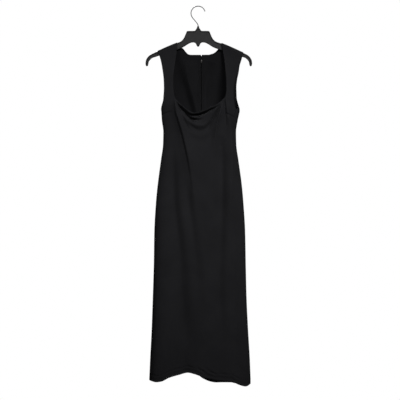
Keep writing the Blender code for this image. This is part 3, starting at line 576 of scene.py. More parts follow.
def hem_shape(x, z):
    """The stitched line puckers the cloth a little, and its turned edge rolls out again."""
    up = z - read(HEM, 1, x)
    line = HEM_DENT * bell(up, HEM_LINE, HEM_LINE_WIDE)
    line += HEM_TUCK * bell(up, HEM_TUCK_UP, HEM_TUCK_WIDE)
    slack = HEM_PUCKER * (HEM_SLACK_LEAST + bell(x, HEM_SLACK_X, HEM_SLACK_WIDE))
    waves = np.sin((x * 0.42 + up * 0.90) / 0.0033 + 7.0 * x)
    waves += 0.35 * np.sin((x * 0.60 - up * 0.40) / 0.0024)
    return line + slack * bell(up, HEM_LINE, HEM_PUCKER_WIDE) * waves


def front_shape(x, z, drop, across):
    """The front's folds, forward and back."""
    inward = pressed(FRONT_FOLDS, x, z, SOFT) + pressed(FRONT_CRESTS, x, z, CREST)
    inward += pressed(FRONT_ROLLS, x, z, SOFT) + pressed(FRONT_PINCHES, x, z, PINCH)
    rolled = np.where(drop < NECK_ROLL[-1][0], read(NECK_ROLL, 1, drop), 0) * (1 - across**2)
    slow = ripple(x, z, seed=3.1, across=0.070, down=0.260, height=0.0011)
    slow += ripple(x, z, seed=8.7, across=0.030, down=0.110, height=0.0004)
    slow *= np.clip((FRONT_SMOOTH_Z - z) / FRONT_SMOOTH_FADE, 0, 1)
    return inward - rolled + slow + np.where(z < ABOVE_HEM_Z, hem_shape(x, z), 0)


halves, growths = [], []
for side in (LEFT, RIGHT):
    halves.append(hang_half(side, FRONT, half_columns, front_fall, STRAP_ROWS, front_shape))
    growths.append(edge_growth(halves[-1], half_columns, ROWS_OVER + STRAP_ROWS))
front_grid = np.concatenate([halves[0][:, :0:-1], halves[1]], axis=1)
front_growth = np.concatenate([growths[0][:, :0:-1], growths[1]], axis=1)
front = sew("front_panel", front_grid, edge=front_growth, face=FRONT)


def node(tree, kind, **values):
    """A node with its properties set, and its inputs set or linked. A short kind is the end of
    the name of one of the tree's own nodes.
    """
    made = tree.nodes.new(kind if "Node" in kind else tree.bl_idname.replace("Tree", kind))
    for key, value in values.items():
        socket = key.replace("_", " ")
        if hasattr(made, key):
            setattr(made, key, value)
        elif isinstance(value, bpy.types.NodeSocket):
            tree.links.new(value, made.inputs[socket])
        else:
            made.inputs[socket].default_value = value
    return made


def node_group(name, kind, takes, gives):
    """A node group with these sockets, each a name and its type, and the inputs to use in it."""
    group = bpy.data.node_groups.new(name, kind)
    for way, sockets in (("INPUT", takes), ("OUTPUT", gives)):
        for socket, holds in sockets.items():
            group.interface.new_socket(socket, in_out=way, socket_type="NodeSocket" + holds)
    return group, group.nodes.new("NodeGroupInput").outputs


def surface(name, pattern, colours, stops, rough, relief, **fixed):
    """A material: the pattern's shade sets its colour and gloss, and its height its relief."""
    material = bpy.data.materials.new(name)
    material.use_nodes = True
    tree = material.node_tree
    shader = tree.nodes["Principled BSDF"]
    shade, height = pattern(tree)
    ramp = node(tree, "ValToRGB", Fac=shade)
    for element, stop, colour in zip(ramp.color_ramp.elements, stops, colours):
        element.position, element.color = stop, (*colour, 1)
    bump = node(tree, "Bump", Height=height, Strength=relief[0], Distance=relief[1])
    tree.links.new(ramp.outputs["Color"], shader.inputs["Base Color"])
    tree.links.new(bump.outputs["Normal"], shader.inputs["Normal"])
    if isinstance(rough, tuple):
        dull = node(tree, "MapRange", Value=shade, To_Min=rough[0], To_Max=rough[1])
        tree.links.new(dull.outputs["Result"], shader.inputs["Roughness"])
    else:
        fixed["Roughness"] = rough
    for key, value in fixed.items():
        shader.inputs[key.replace("_", " ")].default_value = value
    return material


def crepe_weave():
    """The close pebbled face of crepe, in metres of cloth: a shade and a height."""
    takes = dict(Cloth="Vector", Pebble="Float", Rib="Float")
    gives = dict(Shade="Float", Height="Float")
    group, given = node_group("crepe_weave", "ShaderNodeTree", takes, gives)
    cloth = given["Cloth"]
    pebble = node(group, "TexNoise", Vector=cloth, Scale=given["Pebble"], Detail=3.0, Roughness=0.62,
                  Distortion=0.6)
    rib = node(group, "TexWave", Vector=cloth, Scale=given["Rib"], Distortion=2.2, Detail=2.0,
               Detail_Scale=1.6)
    relief = node(group, "Mix", Factor=0.35, A=pebble.outputs["Fac"], B=rib.outputs["Fac"])
    slow = node(group, "TexNoise", Vector=cloth, Scale=9.0, Detail=4.0, Roughness=0.55)
    shade = node(group, "Mix", Factor=0.42, A=slow.outputs["Fac"], B=relief.outputs["Result"])
    node(group, "NodeGroupOutput", Shade=shade.outputs["Result"], Height=relief.outputs["Result"])
    return group


WEAVE = crepe_weave()


def woven(tree):
    """The weave along the cloth's own metres."""
    cloth = node(tree, "UVMap", uv_map="cloth").outputs["UV"]
    weave = node(tree, "Group", node_tree=WEAVE, Cloth=cloth, Pebble=1500.0, Rib=260.0)
    return weave.outputs["Shade"], weave.outputs["Height"]


def crepe(name, dark, pale):
    """Matt black crepe: the weave shades it, roughens it and gives it its fine relief."""
    return surface(name, woven, (dark, pale), (0.30, 0.70), (0.86, 0.96), (0.55, 0.00022),
                   Specular_IOR_Level=0.05, Sheen_Weight=0.008, Sheen_Roughness=0.6)


CREPE_FACE = crepe("black_crepe_face", (0.0115, 0.0115, 0.0127), (0.0169, 0.0169, 0.0185))
# The reverse is a darker copy of the same crepe: painted shade, for the dim inside of the dress seen
# through the neck.
SHADED_CREPE_REVERSE = crepe("black_crepe_reverse_painted_shade", (0.0072, 0.0072, 0.0080), (0.0114, 0.0114, 0.0126))


# The inner faces take the darker reverse, whose colour is painted shade.
def finish_cloth(piece, face=CREPE_FACE, reverse=SHADED_CREPE_REVERSE):
    piece.data.materials.append(face)
    piece.data.materials.append(reverse)
    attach(piece, "dress")


finish_cloth(front)
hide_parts("front")

# ==== The two back panels ==================================================================
# Two more panels of the same crepe, sewn to the front at the sides and the shoulders, and to
# each other below the zip. Their neck is higher and nearly flat, with a notch at the zip.

BACK_NECK = (
    # x, z
    (-0.0885, -0.16), (-0.065, -0.17), (-0.0535, -0.184), (-0.042, -0.194), (-0.03, -0.196),
    (0.04, -0.1955), (0.05, -0.193), (0.0578, -0.1908), (0.066, -0.1862), (0.074, -0.1784),
    (0.084, -0.167), (0.093, -0.161),
)
ZIP_SPREAD = (
    # z, width between the two back panels
    (-0.19, 0.0096), (-0.196, 0.009), (-0.1985, 0.008), (-0.2, 0.003), (-0.2015, 0.0006),
    (-0.215, 0.0005), (-0.2172, 0.0024), (-0.23, 0.0024), (-0.236, SEAM), (-1.54, SEAM),
)
BACK_FOLDS = (
    (  # from the left of the neck to the waist
        # x, z, deep, left, right
        (-74.2, -215, 0, 24, 18), (-74.2, -245, -8, 26, 18), (-73.2, -277.4, -12, 28, 19),
        (-57, -338.3, -13, 28, 19), (-39.7, -399.1, -14, 28, 18), (-30, -440, -12, 28, 18),
        (-28, -500, -7, 28, 20), (-30, -570, 0, 28, 22),
    ),
    (  # from the right of the neck to the middle
        (54, -225, 0, 16, 14), (48, -250, -5.5, 16, 14), (39, -277.4, -7, 16, 14),
        (24, -338.3, -7, 16, 14), (22, -390, -4, 16, 16), (23, -470, 0, 16, 18),
    ),
    (  # long ones down the skirt
        (-38, -430, 0, 14, 18), (-42, -560, 4, 16, 20), (-56, -900, 5.5, 20, 24),
        (-42, -1300, 4, 24, 28), (-40, -1538, 3, 26, 28),
    ),
    (
        (50, -400, 0, 16, 14), (56, -560, 4.5, 18, 14), (82, -900, 6, 24, 18),
        (70, -1300, 4.5, 28, 24), (68, -1538, 2.5, 28, 26),
    ),
    (
        (-115, -520, 0, 14, 14), (-118, -660, 3.5, 15, 18), (-124, -980, 4.5, 18, 22),
        (-116, -1260, 2, 22, 26), (-112, -1420, 0, 24, 28),
    ),
    (
        (124, -640, 0, 16, 14), (131, -860, 4, 20, 16), (133, -1140, 4.5, 24, 18),
        (140, -1538, 2.5, 28, 20),
    ),
    (  # a ridge where the skirt swings out
        (15, -940, 0, 24, 24), (12, -1180, -3.5, 26, 26), (10, -1538, -4.5, 30, 30),
    ),
)
# Folds inside the open neck, each with a crest that its left side falls away from.
BACK_CRESTS = (
    (
        # x, z, deep, left, right
        (-54, -215, 0, 24, 30), (-53.5, -240, 9, 26, 34), (-49, -277.4, 13, 28, 36),
        (-33, -338.3, 14, 28, 36), (-16.5, -399.1, 13, 26, 30), (-9, -440, 9, 26, 30),
        (-8, -520, 0, 26, 30),
    ),
    (
        (112, -195, 0, 22, 30), (113, -250, 7, 24, 30), (115, -330, 9, 26, 30),
        (113, -390, 6, 26, 30), (112, -460, 0, 26, 30),
    ),
)
# Small drags across the waist, where the back is pulled in.
BACK_DRAGS = (
    (
        # x, z, deep, below, above
        (-135, -496, 2.2, 9, 6), (-95, -508, 2.4, 10, 7), (-45, -510, 0, 10, 8),
    ),
    (
        (60, -525, 0, 9, 7), (100, -518, 2, 10, 7), (135, -504, 2.2, 9, 6),
    ),
    (
        (-120, -550, 1.8, 10, 7), (-70, -570, 1.6, 11, 8), (-20, -565, 0, 12, 9),
    ),
)

back_fall = steps_between((
    (0.01, 0.0012, 0.0014), (0.22, 0.0026, 0.0034), (0.18, 0.0034, 0.0056),
    (0.87, 0.0062, 0.0068), (0.06, 0.003, 0.0018),
))

ZIP_HOLD, ZIP_HOLD_Z = 0.018, -0.80
BACK_CREST = 1.3
BACK_SMOOTH_Z, BACK_SMOOTH_FADE = -0.27, 0.10


def back_shape(x, z, drop, across):
    """The back's folds. At the zip its two halves move as one."""

    def folds(x):
        return pressed(BACK_FOLDS, x, z, SOFT) + pressed(BACK_CRESTS, x, z, BACK_CREST)

    inward = folds(x) + pressed(BACK_DRAGS, x, z, SOFT)
    level = folds(np.full_like(x, CENTRE_BACK_X))
    free = np.clip(np.abs(x - CENTRE_BACK_X) / ZIP_HOLD, 0, 1) ** 2
    slow = ripple(x, z, seed=21.3, across=0.075, down=0.280, height=0.0014)
    slow += ripple(x, z, seed=14.9, across=0.032, down=0.120, height=0.0005)
    slow *= np.clip((BACK_SMOOTH_Z - z) / BACK_SMOOTH_FADE, 0, 1)
    return -(level + (inward - level) * np.where(z > ZIP_HOLD_Z, free, 1) + slow)


back_grids = {}
for side, word in ((LEFT, "left"), (RIGHT, "right")):
    grid = hang_half(side, BACK, half_columns, back_fall, 0, back_shape)
    back_grids[side] = grid
    thicker = edge_growth(grid, half_columns, ROWS_OVER)
    back = sew(f"back_panel_{word}", grid, edge=thicker, uv_start=(0.5 * side, 0), face=BACK)
    finish_cloth(back)
    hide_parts(f"back_{word}")

# ==== The hem ==============================================================================
# The crepe is turned up 25 mm on the inside and caught with a blind stitch, which shows
# outside only as a soft line of small dimples.

HEM_WIDTH = 0.025


def hem_rows(grid):
    """The lowest rows, as deep as the turn-up."""
    middle = grid.shape[1] // 2
    return grid[grid[:, middle, 2] <= grid[-1, middle, 2] + HEM_WIDTH]


HEMS = (
    ("front", front_grid, FRONT, "front_panel", 0.475),
    ("back_left", back_grids[LEFT], BACK, "back_panel_left", 0.242),
    ("back_right", back_grids[RIGHT], BACK, "back_panel_right", 0.242),
)
for word, grid, face, panel, width in HEMS:
    lowest = hem_rows(grid)
    piece = sew(f"hem_turn_up_{word}", lowest, inward=CLOTH + SEAM, face=face, uv_start=(0, 2.0))
    finish_cloth(piece, face=SHADED_CREPE_REVERSE, reverse=CREPE_FACE)
    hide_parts(f"hem_{word}")

# ==== The hem's stitches ===================================================================
# A thread catches the turn-up every 6 mm and leaves a short bead on the face of the crepe.

STITCH_PITCH, STITCH_LENGTH, STITCH_THICK = 0.006, 0.0013, 0.00030
# The thread stops this many points short of each seam.
SEAM_POINTS = 3


def thread_line(name, points):
    """An open line of points, for stitches to follow."""
    mesh = bpy.data.meshes.new(name)
    mesh.from_pydata(points.tolist(), [(i, i + 1) for i in range(len(points) - 1)], [])
    return new_object(name, mesh)


def set_out(tree, given, piece, **values):
    """Copies of a piece along the line, a pitch apart and turned the way that it runs."""
    curve = node(tree, "MeshToCurve", Mesh=given["Line"]).outputs["Curve"]
    spots = node(tree, "CurveToPoints", mode="LENGTH", Curve=curve, Length=given["Pitch"]).outputs
    put = node(tree, "InstanceOnPoints", Points=spots["Points"], Instance=piece,
               Rotation=spots["Rotation"], **values)
    return node(tree, "RealizeInstances", Geometry=put.outputs["Instances"])


def stitch_tree():
    """Short beads of thread, laid end to end with gaps along a line."""
    takes = dict(Line="Geometry", Pitch="Float", Length="Float", Thickness="Float", Thread="Material")
    tree, given = node_group("stitch_row", "GeometryNodeTree", takes, dict(Stitches="Geometry"))
    bead = node(tree, "MeshIcoSphere", Radius=0.5, Subdivisions=1)
    thick = given["Thickness"]
    size = node(tree, "ShaderNodeCombineXYZ", X=thick, Y=thick, Z=given["Length"])
    row = set_out(tree, given, bead.outputs["Mesh"], Scale=size.outputs["Vector"])
    paint = node(tree, "SetMaterial", Geometry=row.outputs["Geometry"], Material=given["Thread"])
    node(tree, "NodeGroupOutput", Stitches=paint.outputs["Geometry"])
    return tree


def run_tree(lines, tree, values, name):
    """The tree's result along these lines, as one plain mesh."""
    base = lines[0]
    with bpy.context.temp_override(active_object=base, selected_editable_objects=lines):
        bpy.ops.object.join()
    grow = base.modifiers.new(tree.name, "NODES")
    grow.node_group = tree
    for item in tree.interface.items_tree:
        if item.in_out == "INPUT" and item.name in values:
            grow[item.identifier] = values[item.name]
    graph = bpy.context.evaluated_depsgraph_get()
    mesh = bpy.data.meshes.new_from_object(base.evaluated_get(graph))
    bpy.data.objects.remove(base)
    mesh.name = name
    return new_object(name, mesh)


def ribs(tree, place, **sizes):
    """Slanting ribs, as of twisted thread or twill tape."""
    wave = node(tree, "TexWave", bands_direction="DIAGONAL", Vector=place, **sizes)
    return wave.outputs["Fac"], wave.outputs["Fac"]


def thread(name, colour, rough=0.6):
    """Twisted sewing thread, with its ply showing as fine slanting ribs."""

    def ply(tree):
        place = node(tree, "TexCoord").outputs["Object"]
        return ribs(tree, place, Scale=900.0, Distortion=0.5)

    dark = [0.6 * c for c in colour]
    return surface(name, ply, (dark, colour), (0, 1), rough, (0.5, 0.0001), Specular_IOR_Level=0.08)


BLACK_THREAD = thread("black_thread", (0.022, 0.022, 0.023))
STITCH_ROW = stitch_tree()


def surface_row(grid, row, face, out):
    """A row of a panel's points, moved out along the cloth's normal."""
    normal = unit(np.cross(grid[row + 1] - grid[row - 1], np.gradient(grid[row], axis=0)))
    return grid[row] + normal * np.sign(normal[:, 1].sum() * face) * out


hem_lines = []
for word, grid, face, panel, width in HEMS:
    row = len(grid) - len(hem_rows(grid))
    line = surface_row(grid, row, face, CLOTH / 2)[SEAM_POINTS:-SEAM_POINTS]
    hem_lines.append(thread_line("hem_line", line))
stitch_sizes = dict(Pitch=STITCH_PITCH, Length=STITCH_LENGTH, Thickness=STITCH_THICK,
                    Thread=BLACK_THREAD)
hem_stitches = run_tree(hem_lines, STITCH_ROW, stitch_sizes, "hem_stitches")
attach(hem_stitches, "dress")

# ==== The zip's tapes and coil =============================================================
# A concealed zip: two woven tapes sewn inside the centre-back edges, each carrying half of a
# nylon coil. Closed, it shows inside as a fine ribbed line and outside only as a seam.

TAPE = 0.0006
TAPE_WIDTH = 0.010
ZIP_END_Z = -0.755
COIL_PITCH, COIL_WIDTH, COIL_HEIGHT, COIL_WIRE = 0.00110, 0.0019, 0.0012, 0.00019
COIL_MEET = 0.42
# Columns of points across a tape, the one it is sewn along, and where its two lines start.
TAPE_COLUMNS, SEWN_COLUMN = 6, 2
COIL_FIRST_ROW, SEWN_FIRST_ROW = 4, 2


def along_edge(grid, distances):
    """Points at these distances in from the first column, down to the zip's end."""
    rows = [row for row in grid[ROWS_OVER:] if row[0, 2] >= ZIP_END_Z]
    points = [[np.interp(distances, lengths(row), row[:, k]) for k in range(3)] for row in rows]
    return np.swapaxes(points, 1, 2)


def twill(tree):
    """Close twill tape: fine diagonal ribs."""
    cloth = node(tree, "UVMap", uv_map="cloth").outputs["UV"]
    return ribs(tree, cloth, Scale=420.0, Distortion=0.6, Detail=1.0)


def coil_tree():
    """Flattened loops of one nylon wire, side by side along a line."""
    takes = dict(Line="Geometry", Pitch="Float", Width="Float", Height="Float", Wire="Float",
                 Nylon="Material")
    tree, given = node_group("zip_coil", "GeometryNodeTree", takes, dict(Coil="Geometry"))
    ring = node(tree, "CurvePrimitiveCircle", Resolution=8, Radius=0.5)
    size = node(tree, "ShaderNodeCombineXYZ", X=given["Height"], Y=given["Width"], Z=1.0)
    flat = node(tree, "Transform", Geometry=ring.outputs["Curve"], Scale=size.outputs["Vector"])
    wire = node(tree, "CurvePrimitiveCircle", Resolution=4, Radius=given["Wire"])
    loop = node(tree, "CurveToMesh", Curve=flat.outputs["Geometry"],
                Profile_Curve=wire.outputs["Curve"])
    row = set_out(tree, given, loop.outputs["Mesh"])
    smooth = node(tree, "SetShadeSmooth", Geometry=row.outputs["Geometry"])
    paint = node(tree, "SetMaterial", Geometry=smooth.outputs["Geometry"], Material=given["Nylon"])
    node(tree, "NodeGroupOutput", Coil=paint.outputs["Geometry"])
    return tree


TAPE_COLOURS = (0.0060, 0.0060, 0.0066), (0.0120, 0.0120, 0.0130)
ZIP_TAPE = surface("black_zip_tape", twill, TAPE_COLOURS, (0, 1), 0.85, (0.5, 0.0002),
                   Specular_IOR_Level=0.05)
NYLON = thread("black_nylon", (0.0050, 0.0050, 0.0054), rough=0.55)
TAPE_STITCH_PITCH, TAPE_STITCH_LENGTH, TAPE_STITCH_THICK = 0.0026, 0.0020, 0.00026
inside = np.array([0.0, -1.0, 0.0])
coil_lines, seam_lines = [], []
for side, word in ((LEFT, "left"), (RIGHT, "right")):
    laid = along_edge(back_grids[side], np.linspace(0, TAPE_WIDTH, TAPE_COLUMNS))
    under, tape_face = (CLOTH + TAPE) / 2 + SEAM, CLOTH / 2 + SEAM + TAPE
    tape = sew(f"tape_{word}", laid, thick=TAPE, inward=under, face=BACK, uv_start=(0, 4.0))
    finish_cloth(tape, face=ZIP_TAPE, reverse=ZIP_TAPE)
    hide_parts(f"zip_tape_{word}")
    line = laid[COIL_FIRST_ROW:, 0] + inside * (tape_face + COIL_HEIGHT / 2 + COIL_WIRE)
    from_centre = np.maximum(COIL_WIDTH * COIL_MEET, np.abs(line[:, 0] - CENTRE_BACK_X))
    line[:, 0] = CENTRE_BACK_X + side * from_centre
    coil_lines.append(thread_line("coil_line", line))
    sewn = laid[SEWN_FIRST_ROW:, SEWN_COLUMN] + inside * tape_face
    seam_lines.append(thread_line("seam_line", sewn))
coil_sizes = dict(Pitch=COIL_PITCH, Width=COIL_WIDTH, Height=COIL_HEIGHT, Wire=COIL_WIRE, Nylon=NYLON)
zip_coil = run_tree(coil_lines, coil_tree(), coil_sizes, "zip_coil")
tape_sizes = dict(Pitch=TAPE_STITCH_PITCH, Length=TAPE_STITCH_LENGTH, Thickness=TAPE_STITCH_THICK,
                  Thread=BLACK_THREAD)
tape_stitches = run_tree(seam_lines, STITCH_ROW, tape_sizes, "tape_stitches")
for piece in (zip_coil, tape_stitches):
    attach(piece, "dress")

# ==== The slider and its pull ==============================================================
# A small plated slider runs inside the dress. Its arch comes out between the two backs and
# holds a flat stamped pull tab, which is the one piece that swings.

SLIDER_Z = -0.2215
SLIDER_LENGTH, SLIDER_WIDTH, SLIDER_HEIGHT = 0.0100, 0.0062, 0.0030
SLIDER_INNER, SLIDER_OUTER, SLIDER_OVERLAP = 0.0009, 0.0008, 0.0004
POST_WIDTH = 0.0014
ARCH_LENGTH, ARCH_HEIGHT, ARCH_BAR, ARCH_BASE = 0.0070, 0.0034, 0.0010, 0.0006
PULL_LENGTH, PULL_WIDTH, PULL_THICK = 0.0220, 0.0064, 0.0010
PULL_STRAIGHT, PULL_TIP_WIDTH = 0.0155, 0.0040
EYE_LENGTH, EYE_WIDTH = 0.0052, 0.0030
PULL_AXIS = CLOTH / 2 + SEAM + (ARCH_BASE + ARCH_HEIGHT - ARCH_BAR) / 2

# The slider's own frame: x across, y out of the back and z up the zip, through the pull's axis.
hinge = np.array([joint["pos_m"] for joint in frame["joints"] if joint["name"] == "pull_swing"][0])
out_z = (hinge[2] - SLIDER_Z) / PULL_AXIS
out_y = math.sqrt(1 - out_z**2)
slider_place = Matrix(((1, 0, 0, hinge[0]), (0, out_y, -out_z, hinge[1] - PULL_AXIS * out_y),
                       (0, out_z, out_y, SLIDER_Z), (0, 0, 0, 1)))


SHARP_TURN, SMOOTH_TURN = 1.0, math.radians(50)


def rounded_plate(shape, outline, low, high, round_over, holes=()):
    """A flat plate from y = low to y = high, with its edges rounded over."""
    edges = []
    for ring in (outline, *holes):
        points = [shape.verts.new((x, low, z)) for x, z in ring]
        edges += [shape.edges.new((a, b)) for a, b in zip(points, points[1:] + points[:1])]
    base = bmesh.ops.triangle_fill(shape, use_beauty=True, edges=edges)["geom"]
    faces = [item for item in base if isinstance(item, bmesh.types.BMFace)]
    grown = bmesh.ops.extrude_face_region(shape, geom=faces)
    risen = [item for item in grown["geom"] if isinstance(item, bmesh.types.BMVert)]
    bmesh.ops.translate(shape, vec=(0, high - low, 0), verts=risen)
    bmesh.ops.recalc_face_normals(shape, faces=shape.faces)
    folded = [edge for edge in shape.edges if len(edge.link_faces) == 2]
    sharp = [edge for edge in folded if edge.calc_face_angle(0) > SHARP_TURN]
    bmesh.ops.bevel(shape, geom=sharp, offset=round_over, segments=2, affect="EDGES", profile=0.6)


def round_corners(corners, radius, steps=4):
    """The same outline with each of its corners turned on an arc."""
    corners = [np.array(corner, float) for corner in corners]
    rounded = []
    for before, corner, after in zip(corners[-1:] + corners[:-1], corners, corners[1:] + corners[:1]):
        start, end = (corner + unit(other - corner) * radius for other in (before, after))
        for t in np.linspace(0, 1, steps + 1):
            rounded.append(tuple((1 - t) ** 2 * start + 2 * t * (1 - t) * corner + t**2 * end))
    return rounded


def hard_piece(name, shape, place, body, material, replaced):
    mesh = bpy.data.meshes.new(name)
    shape.to_mesh(mesh)
    shape.free()
    mesh.transform(place)
    mesh.shade_smooth()
    mesh.set_sharp_from_angle(angle=SMOOTH_TURN)
    mesh.materials.append(material)
    made = new_object(name, mesh)
    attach(made, body)
    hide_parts(replaced)


def handling_wear():
    """Fine scratches and finger-dulled patches, for metal and moulded plastic."""
    takes = dict(Place="Vector", Patches="Float", Scratches="Float")
    gives = dict(Dulled="Float", Height="Float")
    group, given = node_group("handling_wear", "ShaderNodeTree", takes, gives)
    place = given["Place"]
    patch = node(group, "TexNoise", Vector=place, Scale=given["Patches"], Detail=4.0, Roughness=0.6)
    drawn = node(group, "Mapping", Vector=place, Rotation=(0.3, 0.6, 0.2), Scale=(1.0, 1.0, 0.06))
    scratch = node(group, "TexNoise", Vector=drawn.outputs["Vector"], Scale=given["Scratches"],
                   Detail=2.0, Roughness=0.7)
    fine = node(group, "MapRange", Value=scratch.outputs["Fac"], From_Min=0.55, From_Max=0.75)
    both = node(group, "Mix", Factor=0.4, A=patch.outputs["Fac"], B=fine.outputs["Result"])
    node(group, "NodeGroupOutput", Dulled=both.outputs["Result"], Height=fine.outputs["Result"])
    return group


WEAR = handling_wear()


def hard_finish(name, dark, pale, rough, metallic, patches, scratches, relief):
    """A hard surface whose colour and gloss change a little where it is handled."""

    def worn(tree):
        place = node(tree, "TexCoord").outputs["Object"]
        wear = node(tree, "Group", node_tree=WEAR, Place=place, Patches=patches,
                    Scratches=scratches)
        return wear.outputs["Dulled"], wear.outputs["Height"]

    return surface(name, worn, (dark, pale), (0.25, 0.75), rough, (0.3, relief), Metallic=metallic)


NICKEL = hard_finish("worn_nickel", (0.22, 0.205, 0.200), (0.32, 0.300, 0.292), (0.30, 0.46), 1.0,
                     patches=600.0, scratches=2500.0, relief=0.00005)

# The slider is two plates joined by a post, with a flange down each side of the lower one.
shape = bmesh.new()
under = -(CLOTH / 2 + SEAM + TAPE + SEAM)
wide, half = SLIDER_WIDTH / 2, SLIDER_LENGTH / 2
foot, notch = 0.8 * wide, 0.0007
body_outline = round_corners(((-wide, half), (-notch, half), (0, half - 0.0012), (notch, half),
                              (wide, half), (wide, 0.001), (foot, -half), (-foot, -half),
                              (-wide, 0.001)), 0.0005)
deep = under - SLIDER_HEIGHT
rounded_plate(shape, body_outline, deep, deep + SLIDER_INNER, 0.00025)
rounded_plate(shape, body_outline, under - SLIDER_OUTER, under, 0.00020)
for way in (LEFT, RIGHT):
    flange = ((wide - 0.0006, half - 0.0008), (wide - 0.0001, half - 0.0008),
              (wide - 0.0001, 0.001), (foot, 0.0006 - half), (foot - 0.0005, 0.0006 - half))
    flange = [(way * x, z) for x, z in flange]
    rounded_plate(shape, flange, deep + SLIDER_OVERLAP, under - SLIDER_OVERLAP, 0.00010)
post, outside, arch = POST_WIDTH / 2, CLOTH / 2 + SEAM, ARCH_LENGTH / 2
stem = round_corners(((-post, -arch), (post, -arch), (post, arch), (-post, arch)), 0.0002)
rounded_plate(shape, stem, under - SLIDER_OVERLAP, outside + ARCH_BASE, 0.00015)

# The arch over the post: its outside, then its inside.
rise, base = outside + ARCH_HEIGHT, outside + 0.0002
bow = [(-arch, base), (-arch, rise - 0.0012), (-arch + 0.0004, rise - 0.0004), (-arch + 0.0012, rise)]
bow += [(-along, out) for along, out in reversed(bow)]
inner = [(arch - ARCH_BAR, base), (arch - ARCH_BAR, rise - 0.0014), (arch - 0.0014, rise - ARCH_BAR)]
bow += inner + [(-along, out) for along, out in reversed(inner)]
bar = bmesh.new()
rounded_plate(bar, [(out, along) for along, out in bow], -post, post, 0.00018)
swap_x_and_y = Matrix(((0, 1, 0), (1, 0, 0), (0, 0, 1)))
bmesh.ops.rotate(bar, verts=bar.verts, cent=(0, 0, 0), matrix=swap_x_and_y)
bmesh.ops.reverse_faces(bar, faces=bar.faces)
made = bpy.data.meshes.new("arch")
bar.to_mesh(made)
bar.free()
shape.from_mesh(made)
bpy.data.meshes.remove(made)
hard_piece("slider", shape, slider_place, "dress", NICKEL, "zip_slider")

# The pull tab tapers to a blunt tip, and its eye hangs on the arch.
shape = bmesh.new()
wide, eye, bar = PULL_WIDTH / 2, EYE_WIDTH / 2, PULL_THICK / 2
tip, foot, low = PULL_TIP_WIDTH / 2, bar - PULL_LENGTH, -bar - EYE_LENGTH
tab = round_corners(((-wide, bar), (wide, bar), (wide, -PULL_STRAIGHT), (tip, foot), (-tip, foot),
                     (-wide, -PULL_STRAIGHT)), 0.0011)
hole = round_corners(((-eye, -bar), (eye, -bar), (eye, low), (-eye, low)), 0.0005)
rounded_plate(shape, tab, -bar, bar, 0.00020, holes=(hole,))
pull_place = slider_place @ Matrix.Translation((0, PULL_AXIS, 0))
hard_piece("pull_tab", shape, pull_place, "pull", NICKEL, "zip_pull")

# ==== The hanger ===========================================================================
# One black moulding: a thin web between two rims, from the plate in the middle down to the
# drooping tips. A collar on the plate takes the stem of the bent steel hook.

HANGER_CUTS = (
    # top x, top z, bottom x, bottom z
    (0, -0.0868, 0, -0.1628), (0.0046, -0.0868, 0.0035, -0.1614),
    (0.008, -0.0912, 0.0063, -0.1568), (0.0105, -0.0955, 0.0086, -0.1514),
    (0.0145, -0.0984, 0.0125, -0.1472), (0.019, -0.0987, 0.018, -0.1454),
    (0.03, -0.0987, 0.028, -0.1464), (0.0402, -0.0989, 0.039, -0.1514),
    (0.0458, -0.1008, 0.045, -0.1548), (0.05, -0.1104, 0.05, -0.1582),
    (0.0565, -0.1252, 0.0555, -0.1617), (0.064, -0.136, 0.0615, -0.165),
    (0.075, -0.1436, 0.069, -0.1683), (0.09, -0.1484, 0.082, -0.173),
    (0.108, -0.155, 0.101, -0.1785), (0.142, -0.1698, 0.136, -0.1895),
    (0.18, -0.1876, 0.1725, -0.203), (0.2, -0.1982, 0.1885, -0.2085),
    (0.2097, -0.2085, 0.198, -0.2166), (0.2146, -0.219, 0.203, -0.224),
    (0.2162, -0.23, 0.2044, -0.2315), (0.215, -0.238, 0.206, -0.2385),
    (0.213, -0.2415, 0.2085, -0.2416),
)
HANGER_DEPTH, HANGER_RIM, HANGER_WEB = 0.0105, 0.0034, 0.0032
HANGER_SLOPE, HANGER_ROUND = 0.0010, 0.0012
# The most that each may take up of a cut's height, at the thin tips.
RIM_SHARE, SLOPE_SHARE, ROUND_SHARE = 0.30, 0.10, 0.20
CUT_STEP = 0.0022
# The plate, the collar and the hook stand a little left of the middle of the arms.
PLATE_OFF, PLATE_OFF_FROM, PLATE_OFF_TO = -0.0029, 0.060, 0.130


def cross_cut(x_top, z_top, x_low, z_low, mirror):
    """One closed cut of the arm: rounded rims above and below a thinner web."""
    top, low = np.array([x_top, z_top]), np.array([x_low, z_low])
    height = np.linalg.norm(low - top)
    down = (low - top) / height
    rim, slope = min(HANGER_RIM, RIM_SHARE * height), min(HANGER_SLOPE, SLOPE_SHARE * height)
    edge = min(HANGER_ROUND, ROUND_SHARE * height)
    half, web = HANGER_DEPTH / 2, HANGER_WEB / 2
    quarter_turn = np.linspace(0, math.pi / 2, 5)
    arc = [(edge * (1 - math.cos(a)), half - edge + edge * math.sin(a)) for a in quarter_turn]
    s = np.linspace(0, 1, 5)[1:]
    fall = [(rim + slope * t, half + (web - half) * (3 * t**2 - 2 * t**3)) for t in s]
    quarter = arc + [(rim, half)] + fall
    across = quarter + [(height - along, out) for along, out in reversed(quarter)]
    ring = across + [(along, -out) for along, out in reversed(across)]
    return [(mirror * (top + down * along)[0], out, (top + down * along)[1]) for along, out in ring]


def skin(shape, rings):
    """Faces from each ring of points to the next, and one over each end."""
    for one, two in zip(rings, rings[1:]):
        for a, b, c, d in zip(one, one[1:] + one[:1], two[1:] + two[:1], two):
            shape.faces.new((a, b, c, d))
    shape.faces.new(rings[0][::-1])
    shape.faces.new(rings[-1])
    bmesh.ops.recalc_face_normals(shape, faces=shape.faces)


